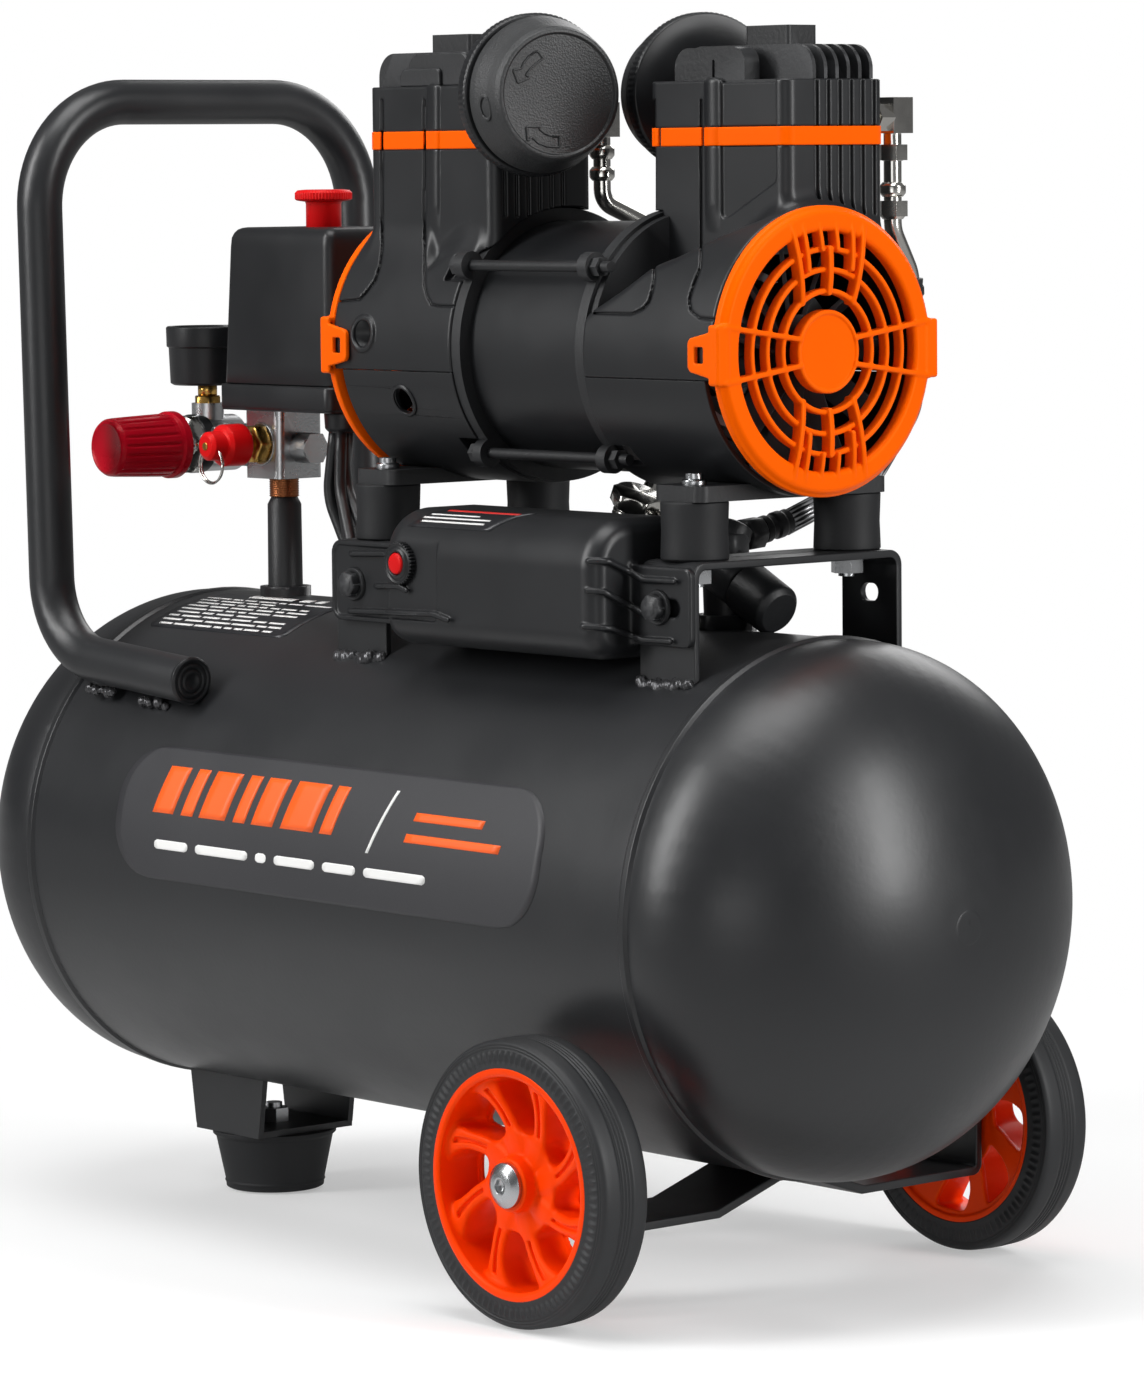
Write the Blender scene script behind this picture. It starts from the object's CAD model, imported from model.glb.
import bpy
import math
import numpy as np
from math import pi, sin, cos, sqrt, radians, atan2
from mathutils import Vector, Matrix


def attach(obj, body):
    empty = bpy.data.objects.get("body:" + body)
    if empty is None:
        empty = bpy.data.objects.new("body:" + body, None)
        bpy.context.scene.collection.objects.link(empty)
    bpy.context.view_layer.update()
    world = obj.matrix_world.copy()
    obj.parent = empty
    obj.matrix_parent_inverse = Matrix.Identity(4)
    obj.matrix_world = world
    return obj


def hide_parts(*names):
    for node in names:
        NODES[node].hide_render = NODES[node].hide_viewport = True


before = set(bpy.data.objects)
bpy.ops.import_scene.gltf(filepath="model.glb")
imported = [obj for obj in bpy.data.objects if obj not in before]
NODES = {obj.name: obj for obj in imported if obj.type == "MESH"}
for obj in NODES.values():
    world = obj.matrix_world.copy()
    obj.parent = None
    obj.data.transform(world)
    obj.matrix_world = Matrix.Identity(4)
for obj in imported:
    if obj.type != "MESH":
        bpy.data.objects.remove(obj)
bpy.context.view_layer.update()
MM = 0.001
COL = bpy.context.scene.collection

# ------------------------------------------------------------ dimensions, mm
TANK_R, TANK_Z, SEAM = 120.0, 175.3, 218.0
AX = 421.7                      # motor shaft height
UX = 84.0                       # middle of the pump unit
WX, WR = 172.6, 63.75
REGX, REGZ = -229.0, 368.0
RISX = -168.0
CVX, CVY = 140.0, 12.0


# ================================================================= materials
def srgb(r, g, b):
    out = []
    for c in (r, g, b):
        c = c / 255.0
        out.append(c / 12.92 if c <= 0.04045 else ((c + 0.055) / 1.055) ** 2.4)
    return (out[0], out[1], out[2], 1.0)


MATS = {}


def mat(name, col, rough=0.4, metal=0.0, grain=900.0, bump=0.05, dist=0.0002, big=14.0, var=0.12,
        rvar=0.08, spec=0.5, coat=0.0, coat_rough=0.2, edge=0.0, edge_col=None, stretch=None, kind="noise",
        speck=0.0, dust=0.0, emit=0.0):
    """Layered finish: fine grain bump, broad tone and gloss drift, light wear on edges, dust on top faces."""
    m = bpy.data.materials.new(name)
    m.use_nodes = True
    nt = m.node_tree
    N, L = nt.nodes, nt.links
    b = N["Principled BSDF"]
    tc = N.new("ShaderNodeTexCoord")
    mp = N.new("ShaderNodeMapping")
    if stretch:
        mp.inputs["Scale"].default_value = stretch
    L.new(tc.outputs["Object"], mp.inputs["Vector"])
    broad = N.new("ShaderNodeTexNoise")
    broad.inputs["Scale"].default_value = big
    broad.inputs["Detail"].default_value = 6
    broad.inputs["Roughness"].default_value = 0.62
    L.new(mp.outputs["Vector"], broad.inputs["Vector"])
    if kind == "voronoi":
        fine = N.new("ShaderNodeTexVoronoi")
        fine.inputs["Scale"].default_value = grain
        fout = fine.outputs["Distance"]
    else:
        fine = N.new("ShaderNodeTexNoise")
        fine.inputs["Scale"].default_value = grain
        fine.inputs["Detail"].default_value = 3
        fout = fine.outputs["Fac"]
    L.new(mp.outputs["Vector"], fine.inputs["Vector"])
    # tone
    ramp = N.new("ShaderNodeMapRange")
    ramp.inputs["From Min"].default_value = 0.3
    ramp.inputs["From Max"].default_value = 0.7
    ramp.inputs["To Min"].default_value = 1.0 - var
    ramp.inputs["To Max"].default_value = 1.0 + var
    L.new(broad.outputs["Fac"], ramp.inputs["Value"])
    base = N.new("ShaderNodeMix")
    base.data_type = "RGBA"
    base.blend_type = "MULTIPLY"
    base.inputs[0].default_value = 1.0
    base.inputs[6].default_value = col
    L.new(ramp.outputs["Result"], base.inputs[7])
    out = base.outputs[2]
    if speck > 0:
        sp = N.new("ShaderNodeMapRange")
        sp.inputs["From Min"].default_value = 0.35
        sp.inputs["From Max"].default_value = 0.65
        sp.inputs["To Min"].default_value = 1.0 - speck
        sp.inputs["To Max"].default_value = 1.0 + speck
        L.new(fout, sp.inputs["Value"])
        mx = N.new("ShaderNodeMix")
        mx.data_type = "RGBA"
        mx.blend_type = "MULTIPLY"
        mx.inputs[0].default_value = 1.0
        L.new(out, mx.inputs[6])
        L.new(sp.outputs["Result"], mx.inputs[7])
        out = mx.outputs[2]
    if edge > 0:
        g = N.new("ShaderNodeNewGeometry")
        er = N.new("ShaderNodeMapRange")
        er.inputs["From Min"].default_value = 0.52
        er.inputs["From Max"].default_value = 0.62
        er.inputs["To Min"].default_value = 0.0
        er.inputs["To Max"].default_value = edge
        L.new(g.outputs["Pointiness"], er.inputs["Value"])
        mx = N.new("ShaderNodeMix")
        mx.data_type = "RGBA"
        L.new(er.outputs["Result"], mx.inputs[0])
        L.new(out, mx.inputs[6])
        mx.inputs[7].default_value = edge_col or tuple(min(1.0, c * 1.9 + 0.02) for c in col[:3]) + (1.0,)
        out = mx.outputs[2]
    if dust > 0:
        g2 = N.new("ShaderNodeNewGeometry")
        sx = N.new("ShaderNodeSeparateXYZ")
        L.new(g2.outputs["Normal"], sx.inputs["Vector"])
        dr = N.new("ShaderNodeMapRange")
        dr.inputs["From Min"].default_value = 0.75
        dr.inputs["From Max"].default_value = 1.0
        dr.inputs["To Max"].default_value = dust
        L.new(sx.outputs["Z"], dr.inputs["Value"])
        mm_ = N.new("ShaderNodeMath")
        mm_.operation = "MULTIPLY"
        L.new(dr.outputs["Result"], mm_.inputs[0])
        L.new(broad.outputs["Fac"], mm_.inputs[1])
        mx = N.new("ShaderNodeMix")
        mx.data_type = "RGBA"
        L.new(mm_.outputs[0], mx.inputs[0])
        L.new(out, mx.inputs[6])
        mx.inputs[7].default_value = srgb(150, 148, 145)
        out = mx.outputs[2]
    L.new(out, b.inputs["Base Color"])
    rr = N.new("ShaderNodeMapRange")
    rr.inputs["From Min"].default_value = 0.3
    rr.inputs["From Max"].default_value = 0.7
    rr.inputs["To Min"].default_value = max(0.02, rough - rvar)
    rr.inputs["To Max"].default_value = min(1.0, rough + rvar)
    L.new(broad.outputs["Fac"], rr.inputs["Value"])
    L.new(rr.outputs["Result"], b.inputs["Roughness"])
    b.inputs["Metallic"].default_value = metal
    b.inputs["Specular IOR Level"].default_value = spec
    b.inputs["Coat Weight"].default_value = coat
    b.inputs["Coat Roughness"].default_value = coat_rough
    if bump > 0:
        bp = N.new("ShaderNodeBump")
        bp.inputs["Strength"].default_value = bump
        bp.inputs["Distance"].default_value = dist
        L.new(fout, bp.inputs["Height"])
        L.new(bp.outputs["Normal"], b.inputs["Normal"])
    if emit > 0:
        b.inputs["Emission Color"].default_value = col
        b.inputs["Emission Strength"].default_value = emit
    MATS[name] = m
    return m


M_POWDER = mat("powder_black", srgb(31, 32, 34), 0.36, grain=420, bump=0.10, dist=0.0004, var=0.05, rvar=0.05, spec=0.5, edge=0.15, dust=0.04)
M_POWDER2 = mat("powder_black_bracket", srgb(28, 29, 31), 0.42, grain=500, bump=0.12, dist=0.0003, var=0.06, edge=0.25, dust=0.04)
M_PLASTIC = mat("plastic_black", srgb(27, 28, 30), 0.38, spec=0.42, grain=1300, bump=0.10, dist=0.0001, var=0.05, rvar=0.06, edge=0.18, dust=0.04)
M_PLASTIC_S = mat("plastic_black_fine", srgb(26, 27, 29), 0.36, spec=0.4, grain=1500, bump=0.08, dist=0.0001, var=0.05, edge=0.15, dust=0.03)
M_PLASTIC_T = mat("plastic_textured", srgb(30, 31, 32), 0.5, spec=0.4, grain=1100, bump=0.45, dist=0.0003, kind="voronoi", var=0.06, edge=0.12)
M_CAP = mat("cap_textured", srgb(44, 45, 46), 0.46, spec=0.5, grain=1100, bump=0.45, dist=0.0003, kind="voronoi", var=0.06, edge=0.12)
M_ORANGE = mat("plastic_orange", srgb(252, 96, 0), 0.40, grain=1200, bump=0.06, dist=0.0001, var=0.04, rvar=0.05, spec=0.22, edge=0.25, edge_col=srgb(255, 140, 50))
M_ORANGE_B = mat("band_orange", srgb(252, 94, 0), 0.45, grain=900, bump=0.05, dist=0.0001, var=0.03, spec=0.22)
M_ORANGE_W = mat("wheel_orange", srgb(246, 62, 0), 0.40, grain=1200, bump=0.06, dist=0.0001, var=0.05, spec=0.25, edge=0.2, edge_col=srgb(255, 125, 60))
M_RED = mat("plastic_red", srgb(206, 14, 18), 0.35, spec=0.35, grain=1200, bump=0.06, dist=0.0001, var=0.05, edge=0.25, edge_col=srgb(240, 80, 80))
M_CRIM = mat("plastic_crimson", srgb(176, 8, 30), 0.30, spec=0.35, grain=1200, bump=0.05, dist=0.0001, var=0.05, edge=0.3, edge_col=srgb(236, 90, 110))
M_RUBBER = mat("rubber_black", srgb(23, 24, 26), 0.62, grain=700, bump=0.25, dist=0.0002, var=0.08, rvar=0.06, spec=0.4, edge=0.12, dust=0.05)
M_TYRE = mat("rubber_tyre", srgb(29, 30, 32), 0.55, grain=650, bump=0.2, dist=0.0002, var=0.08, rvar=0.07, spec=0.45, edge=0.15, dust=0.06)
M_ZINC = mat("zinc_cast", srgb(186, 187, 188), 0.28, 1.0, grain=650, bump=0.25, dist=0.0003, var=0.08, rvar=0.1, edge=0.35, edge_col=srgb(225, 225, 225))
M_NICKEL = mat("nickel_plate", srgb(205, 203, 198), 0.18, 1.0, grain=500, bump=0.05, dist=0.0002, var=0.05, rvar=0.06)
M_STEEL = mat("zinc_plated_steel", srgb(182, 184, 186), 0.27, 1.0, grain=600, bump=0.10, dist=0.0002, var=0.08, rvar=0.09, edge=0.2, edge_col=srgb(235, 235, 235))
M_BRASS = mat("brass", srgb(205, 160, 82), 0.26, 1.0, grain=600, bump=0.10, dist=0.0002, var=0.08, rvar=0.08, edge=0.2, edge_col=srgb(245, 215, 140))
M_ALU = mat("aluminium_cast", srgb(168, 170, 173), 0.42, 1.0, grain=520, bump=0.35, dist=0.0004, var=0.08, rvar=0.1, edge=0.3, edge_col=srgb(225, 227, 230))
M_ALU_M = mat("aluminium_machined", srgb(190, 192, 195), 0.25, 1.0, grain=400, bump=0.12, dist=0.0002, stretch=(1, 1, 14), var=0.06)
M_CASEBLK = mat("casting_black", srgb(24, 25, 27), 0.48, grain=520, bump=0.3, dist=0.0004, var=0.08, edge=0.35, edge_col=srgb(92, 93, 95))
M_LAM = mat("lamination_steel", srgb(120, 122, 126), 0.38, 1.0, grain=300, bump=0.5, dist=0.0003, stretch=(22, 0.4, 0.4), var=0.12)
M_COPPER = mat("copper_winding", srgb(190, 98, 52), 0.32, 1.0, grain=260, bump=0.6, dist=0.0006, stretch=(1, 6, 6), var=0.15)
M_WELD = mat("weld_metal", srgb(70, 70, 72), 0.30, 0.55, grain=300, bump=0.45, dist=0.0006, var=0.2, rvar=0.14, edge=0.4, edge_col=srgb(170, 170, 172))
M_CABLE = mat("cable_jacket", srgb(24, 25, 27), 0.42, grain=900, bump=0.12, dist=0.0002, var=0.06)
M_FELT = mat("filter_felt", srgb(214, 210, 200), 0.95, grain=520, bump=0.9, dist=0.0009, var=0.08, spec=0.1)
M_SHAFT = mat("ground_steel", srgb(172, 174, 178), 0.20, 1.0, grain=500, bump=0.08, dist=0.0002, stretch=(10, 1, 1), var=0.05)
M_PTFE = mat("piston_aluminium", srgb(180, 180, 182), 0.35, 1.0, grain=500, bump=0.2, dist=0.0002, var=0.06)
M_DECAL = mat("decal_charcoal", srgb(47, 47, 50), 0.50, grain=1500, bump=0.04, dist=0.00005, var=0.03, speck=0.05)
M_DEC_OR = mat("decal_orange", srgb(252, 98, 22), 0.48, grain=1500, bump=0.03, dist=0.00005, var=0.03)
M_DEC_WH = mat("decal_white", srgb(236, 236, 234), 0.50, grain=1500, bump=0.03, dist=0.00005, var=0.02)
M_DEC_RD = mat("decal_red", srgb(205, 38, 34), 0.50, grain=1500, bump=0.03, dist=0.00005, var=0.03)
M_DEC_GR = mat("decal_grey", srgb(120, 121, 124), 0.50, grain=1500, bump=0.03, dist=0.00005, var=0.03)
M_PLATE = mat("plate_dark", srgb(38, 39, 42), 0.33, 0.2, grain=900, bump=0.05, dist=0.0001, var=0.05)
M_DIAL = mat("dial_white", srgb(232, 232, 228), 0.45, grain=1200, bump=0.03, dist=0.00005, var=0.02)
M_FLOOR = mat("floor_pale", srgb(250, 250, 250), 0.62, grain=60, bump=0.02, dist=0.0002, big=3, var=0.01, rvar=0.03, spec=0.25)


def glass():
    m = bpy.data.materials.new("gauge_glass")
    m.use_nodes = True
    b = m.node_tree.nodes["Principled BSDF"]
    b.inputs["Base Color"].default_value = (0.95, 0.97, 0.97, 1)
    b.inputs["Transmission Weight"].default_value = 1.0
    b.inputs["IOR"].default_value = 1.2
    n = m.node_tree.nodes.new("ShaderNodeTexNoise")
    n.inputs["Scale"].default_value = 120
    r = m.node_tree.nodes.new("ShaderNodeMapRange")
    r.inputs["To Min"].default_value = 0.02
    r.inputs["To Max"].default_value = 0.08
    m.node_tree.links.new(n.outputs["Fac"], r.inputs["Value"])
    m.node_tree.links.new(r.outputs["Result"], b.inputs["Roughness"])
    return m


M_GLASS = glass()
for m_, t_ in ((M_ORANGE, (1.0, 0.42, 0.05)), (M_ORANGE_B, (1.0, 0.42, 0.05)), (M_ORANGE_W, (1.0, 0.35, 0.1)),
               (M_RED, (1.0, 0.3, 0.25)), (M_CRIM, (1.0, 0.25, 0.25))):
    s_ = m_.node_tree.nodes["Principled BSDF"].inputs.get("Specular Tint")
    if s_ is not None and hasattr(s_.default_value, "__len__"):
        s_.default_value = (*t_, 1.0)


def hose_mat():
    """woven hose: black and silver yarns crossing along the hose, from the UV map (u round, v along)"""
    m = bpy.data.materials.new("braided_hose")
    m.use_nodes = True
    nt = m.node_tree
    N, L = nt.nodes, nt.links
    b = N["Principled BSDF"]
    uv = N.new("ShaderNodeUVMap")
    sep = N.new("ShaderNodeSeparateXYZ")
    L.new(uv.outputs["UV"], sep.inputs["Vector"])

    def m2(op, a, b_):
        n = N.new("ShaderNodeMath")
        n.operation = op
        for i, v in enumerate((a, b_)):
            if v is None:
                continue
            if isinstance(v, (int, float)):
                n.inputs[i].default_value = v
            else:
                L.new(v, n.inputs[i])
        return n.outputs[0]
    u = m2("MULTIPLY", sep.outputs["X"], 8.0)
    v = m2("MULTIPLY", sep.outputs["Y"], 1.0)
    p = m2("FRACT", m2("ADD", u, v), None)
    q = m2("FRACT", m2("SUBTRACT", u, v), None)
    hp = m2("SINE", m2("MULTIPLY", p, 2 * pi), None)
    hq = m2("SINE", m2("MULTIPLY", q, 2 * pi), None)
    h = m2("MULTIPLY", hp, hq)
    r = N.new("ShaderNodeValToRGB")
    r.color_ramp.elements[0].position = 0.35
    r.color_ramp.elements[0].color = srgb(16, 16, 18)
    r.color_ramp.elements[1].position = 0.8
    r.color_ramp.elements[1].color = srgb(205, 205, 207)
    mr = N.new("ShaderNodeMapRange")
    mr.inputs["From Min"].default_value = -1
    L.new(h, mr.inputs["Value"])
    L.new(mr.outputs["Result"], r.inputs["Fac"])
    L.new(r.outputs["Color"], b.inputs["Base Color"])
    b.inputs["Roughness"].default_value = 0.32
    b.inputs["Metallic"].default_value = 0.5
    bu = N.new("ShaderNodeBump")
    bu.inputs["Strength"].default_value = 0.8
    bu.inputs["Distance"].default_value = 0.0006
    L.new(mr.outputs["Result"], bu.inputs["Height"])
    L.new(bu.outputs["Normal"], b.inputs["Normal"])
    return m


M_HOSE = hose_mat()


# ============================================================== mesh helpers
def add(name, V, F, body, m, slot_=None, reps=(), bevel=0.0, seg=2, ang=32, flat=False, loc=None, uv=None):
    me = bpy.data.meshes.new(name)
    V = np.asarray(V, float) * MM
    if isinstance(F, np.ndarray):
        nf, k = F.shape
        me.vertices.add(len(V))
        me.vertices.foreach_set("co", V.astype(np.float32).ravel())
        me.loops.add(nf * k)
        me.loops.foreach_set("vertex_index", F.astype(np.int32).ravel())
        me.polygons.add(nf)
        me.polygons.foreach_set("loop_start", (np.arange(nf) * k).astype(np.int32))
        me.update(calc_edges=True)
    else:
        me.from_pydata(V.tolist(), [], F)
        me.update()
    if uv is not None:
        lay = me.uv_layers.new(name="UVMap")
        li = np.zeros(len(me.loops), np.int32)
        me.loops.foreach_get("vertex_index", li)
        lay.data.foreach_set("uv", np.asarray(uv, np.float32)[li].ravel())
    if not flat:
        me.polygons.foreach_set("use_smooth", [True] * len(me.polygons))
    o = bpy.data.objects.new(name, me)
    COL.objects.link(o)
    me.materials.append(m)
    if bevel > 0:
        w = o.modifiers.new("weld", "WELD")
        w.merge_threshold = 0.00001
        b = o.modifiers.new("bevel", "BEVEL")
        b.width = bevel * MM
        b.segments = seg
        b.limit_method = "ANGLE"
        b.angle_limit = radians(ang)
        b.harden_normals = False
        o.modifiers.new("wn", "WEIGHTED_NORMAL").keep_sharp = True
    if loc is not None:
        o.matrix_world = loc
    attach(o, body)
    if reps:
        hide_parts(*reps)
    return o


def join(*parts):
    V, F, k = [], [], 0
    for v, f in parts:
        v = np.asarray(v, float)
        V.append(v)
        F += [[i + k for i in q] for q in (f.tolist() if isinstance(f, np.ndarray) else f)]
        k += len(v)
    return np.concatenate(V), F


def rpts(pts, da=12.0):
    """sample a closed polygon of (u, v, r) corners with rounded corners"""
    out = []
    n = len(pts)
    for i in range(n):
        u, v = pts[i][0], pts[i][1]
        r = pts[i][2] if len(pts[i]) > 2 else 0
        if r <= 0:
            out.append((u, v))
            continue
        a, b = pts[i - 1], pts[(i + 1) % n]
        d1 = np.array((a[0] - u, a[1] - v), float)
        d2 = np.array((b[0] - u, b[1] - v), float)
        d1 /= np.linalg.norm(d1)
        d2 /= np.linalg.norm(d2)
        ang = math.acos(max(-1, min(1, float(d1 @ d2))))
        half = ang / 2
        t = r / math.tan(half)
        bis = d1 + d2
        bis /= np.linalg.norm(bis)
        c = np.array((u, v)) + bis * (r / sin(half))
        p1 = np.array((u, v)) + d1 * t - c
        p2 = np.array((u, v)) + d2 * t - c
        a1, a2 = atan2(p1[1], p1[0]), atan2(p2[1], p2[0])
        dlt = (a2 - a1 + pi) % (2 * pi) - pi
        k = max(2, int(abs(math.degrees(dlt)) / da) + 1)
        for j in range(k + 1):
            th = a1 + dlt * j / k
            out.append((c[0] + r * cos(th), c[1] + r * sin(th)))
    return out


def rr(u0, u1, v0, v1, r):
    return [(u0, v0, r), (u1, v0, r), (u1, v1, r), (u0, v1, r)]


def prism(pts, plane, a, b, da=12.0):
    p = rpts(pts, da)
    n = len(p)
    ax = {"xy": lambda u, v, t: (u, v, t), "yz": lambda u, v, t: (t, u, v), "xz": lambda u, v, t: (u, t, v)}[plane]
    V = [ax(u, v, a) for u, v in p] + [ax(u, v, b) for u, v in p]
    area = sum(p[i - 1][0] * p[i][1] - p[i][0] * p[i - 1][1] for i in range(n))
    s = 1 if area > 0 else -1
    if plane == "xz":
        s = -s
    if b < a:
        s = -s
    F = [list(range(n))[::-1] if s > 0 else list(range(n)),
         list(range(n, 2 * n)) if s > 0 else list(range(n, 2 * n))[::-1]]
    for i in range(n):
        j = (i + 1) % n
        F.append([i, j, n + j, n + i] if s > 0 else [j, i, n + i, n + j])
    return np.array(V, float), F


def boxm(x0, x1, y0, y1, z0, z1):
    return prism([(x0, y0), (x1, y0), (x1, y1), (x0, y1)], "xy", z0, z1)


def basis(d):
    d = Vector(d).normalized()
    ref = Vector((0, 0, 1)) if abs(d.z) < 0.9 else Vector((1, 0, 0))
    u = d.cross(ref).normalized()
    w = d.cross(u).normalized()
    return np.array(d), np.array(u), np.array(w)


def lathe(prof, p, d, n=64, closed=True, da=15.0, mod=None):
    """revolve (t, r[, rounding]) about the axis through p along d"""
    if closed:
        q = rpts(prof, da)
    else:
        q = [(a[0], a[1]) for a in prof]
    d_, u, w = basis(d)
    p = np.array(p, float)
    V, rings = [], []
    for (t, r) in q:
        if r < 1e-6:
            rings.append([len(V)])
            V.append(p + d_ * t)
        else:
            ids = []
            for i in range(n):
                th = 2 * pi * i / n
                rad = r if mod is None else mod(t, r, th)
                ids.append(len(V))
                V.append(p + d_ * t + (u * cos(th) + w * sin(th)) * rad)
            rings.append(ids)
    F = []
    m = len(q)
    for k in range(m if closed else m - 1):
        a, b = rings[k], rings[(k + 1) % m]
        if len(a) == 1 and len(b) == 1:
            continue
        for i in range(n):
            j = (i + 1) % n
            if len(a) == 1:
                F.append([a[0], b[i], b[j]])
            elif len(b) == 1:
                F.append([a[i], b[0], a[j]])
            else:
                F.append([a[i], b[i], b[j], a[j]])
    V = np.array(V)
    # outward orientation from the signed volume
    vol = 0.0
    for f in F:
        a = V[f[0]] - p
        for k in range(1, len(f) - 1):
            vol += np.dot(a, np.cross(V[f[k]] - p, V[f[k + 1]] - p))
    if vol < 0:
        F = [f[::-1] for f in F]
    return V, F


def cylm(p, d, r, h, n=40, cham=0.0):
    c = min(cham, r * 0.4, h * 0.4)
    pr_ = [(0, 0), (0, r - c), (c, r), (h - c, r), (h, r - c), (h, 0)] if c > 0 else [(0, 0), (0, r), (h, r), (h, 0)]
    return lathe(pr_, p, d, n, closed=False)


def hexm(p, d, af, h, turn=0.0, cham=0.8):
    """hex with the chamfered corners of a real nut"""
    d_, u, w = basis(d)
    p = np.array(p, float)
    R = af / sqrt(3)
    n = 48
    lev = [(0, True), (cham * 0.7, False), (h - cham * 0.7, False), (h, True)]
    V, rings = [], []
    V.append(p.copy())
    for (t, c) in lev:
        ids = []
        for i in range(n):
            th = 2 * pi * i / n
            a = (th % (pi / 3)) - pi / 6
            rad = (af / 2) / cos(a)
            if c:
                rad = min(rad, af / 2 * 0.985)
            else:
                rad = min(rad, R - 0.15)
            ids.append(len(V))
            thr = th + radians(turn)
            V.append(p + d_ * t + (u * cos(thr) + w * sin(thr)) * rad)
        rings.append(ids)
    V.append(p + d_ * h)
    last = len(V) - 1
    F = []
    for i in range(n):
        j = (i + 1) % n
        F.append([0, rings[0][j], rings[0][i]])
        F.append([last, rings[-1][i], rings[-1][j]])
        for k in range(3):
            F.append([rings[k][i], rings[k][j], rings[k + 1][j], rings[k + 1][i]])
    V = np.array(V)
    vol = 0.0
    for f in F:
        a = V[f[0]] - p
        for k in range(1, len(f) - 1):
            vol += np.dot(a, np.cross(V[f[k]] - p, V[f[k + 1]] - p))
    if vol < 0:
        F = [f[::-1] for f in F]
    return V, F


def pathpts(pts, step=2.0):
    """polyline through (x, y, z, r) corners with tangent arcs"""
    P = [np.array(q[:3], float) for q in pts]
    R = [q[3] if len(q) > 3 else 0 for q in pts]
    out = [P[0]]
    for i in range(1, len(P) - 1):
        a, b = P[i - 1] - P[i], P[i + 1] - P[i]
        la, lb = np.linalg.norm(a), np.linalg.norm(b)
        a, b = a / la, b / lb
        ang = math.acos(max(-1, min(1, float(a @ b))))
        if R[i] <= 0 or ang > pi - 0.01:
            out.append(P[i])
            continue
        t = min(R[i] / math.tan(ang / 2), la * 0.499, lb * 0.499)
        r = t * math.tan(ang / 2)
        bis = (a + b) / np.linalg.norm(a + b)
        c = P[i] + bis * (r / sin(ang / 2))
        s0, s1 = P[i] + a * t - c, P[i] + b * t - c
        tot = pi - ang
        k = max(3, int(r * tot / step) + 1)
        for j in range(k + 1):
            th = tot * j / k
            out.append(c + (s0 * sin(tot - th) + s1 * sin(th)) / sin(tot))
    out.append(P[-1])
    q = [out[0]]
    for p in out[1:]:
        if np.linalg.norm(p - q[-1]) > 1e-4:
            q.append(p)
    # even out long straights
    res = [q[0]]
    for p in q[1:]:
        dlt = p - res[-1]
        ln = np.linalg.norm(dlt)
        k = max(1, int(ln / (step * 4)))
        s = res[-1]
        for j in range(1, k + 1):
            res.append(s + dlt * j / k)
    return res


def tube(pts, r, n=20, step=2.0, cap=True, rad=None):
    q = pathpts(pts, step)
    m = len(q)
    T = []
    for i in range(m):
        t = q[min(i + 1, m - 1)] - q[max(i - 1, 0)]
        T.append(t / np.linalg.norm(t))
    d_, u, w = basis(T[0])
    V, UV, F = [], [], []
    s = 0.0
    for i in range(m):
        if i:
            s += np.linalg.norm(q[i] - q[i - 1])
            u = u - T[i] * (u @ T[i])
            u /= np.linalg.norm(u)
            w = np.cross(T[i], u)
        rr_ = r if rad is None else rad(s)
        for k in range(n):
            th = 2 * pi * k / n
            V.append(q[i] + (u * cos(th) + w * sin(th)) * rr_)
            UV.append((k / n if k <= n / 2 else 1 - k / n, s / (2 * pi * r)))
    for i in range(m - 1):
        for k in range(n):
            j = (k + 1) % n
            F.append([i * n + k, i * n + j, (i + 1) * n + j, (i + 1) * n + k])
    if cap:
        F.append(list(range(n))[::-1])
        F.append([(m - 1) * n + k for k in range(n)])
    V = np.array(V)
    c = V.mean(0)
    f = F[0]
    nrm = np.cross(V[f[1]] - V[f[0]], V[f[2]] - V[f[0]])
    if nrm @ (V[f[0]] - q[0]) < 0:
        F = [g[::-1] for g in F]
    return V, F, UV


def turn180(v):
    v = np.array(v, float)
    v[:, 0] = 2 * UX - v[:, 0]
    v[:, 1] = -v[:, 1]
    return v


TURN = Matrix.Translation(Vector((2 * UX * MM, 0, 0))) @ Matrix.Rotation(pi, 4, "Z")


def twin(o, name, body, reps=()):
    """the rear copy of a front unit piece, turned half a turn about the unit's middle"""
    c = bpy.data.objects.new(name, o.data)
    COL.objects.link(c)
    for m in o.modifiers:
        n = c.modifiers.new(m.name, m.type)
        for a in ("width", "segments", "limit_method", "angle_limit", "merge_threshold", "keep_sharp"):
            if hasattr(m, a):
                try:
                    setattr(n, a, getattr(m, a))
                except Exception:
                    pass
    c.matrix_world = TURN
    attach(c, body)
    if reps:
        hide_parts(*reps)
    return c


# ======================================================= distance-field solids
def ln(a, b):
    return np.sqrt(a * a + b * b)


def smin(a, b, k):
    h = np.clip(0.5 + 0.5 * (b - a) / k, 0, 1)
    return b + (a - b) * h - k * h * (1 - h)


def smax(a, b, k):
    return -smin(-a, -b, k)


def meet(a, b, r):
    """intersection of two fields with its edge rounded to r"""
    a, b = a + r, b + r
    return np.minimum(np.maximum(a, b), 0) + ln(np.maximum(a, 0), np.maximum(b, 0)) - r


def rect2(u, v, u0, u1, v0, v1, r=0.0):
    a = np.abs(u - (u0 + u1) / 2) - (u1 - u0) / 2 + r
    b = np.abs(v - (v0 + v1) / 2) - (v1 - v0) / 2 + r
    return np.minimum(np.maximum(a, b), 0) + ln(np.maximum(a, 0), np.maximum(b, 0)) - r


def slab(t, a, b):
    return np.abs(t - (a + b) / 2) - (b - a) / 2


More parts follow.
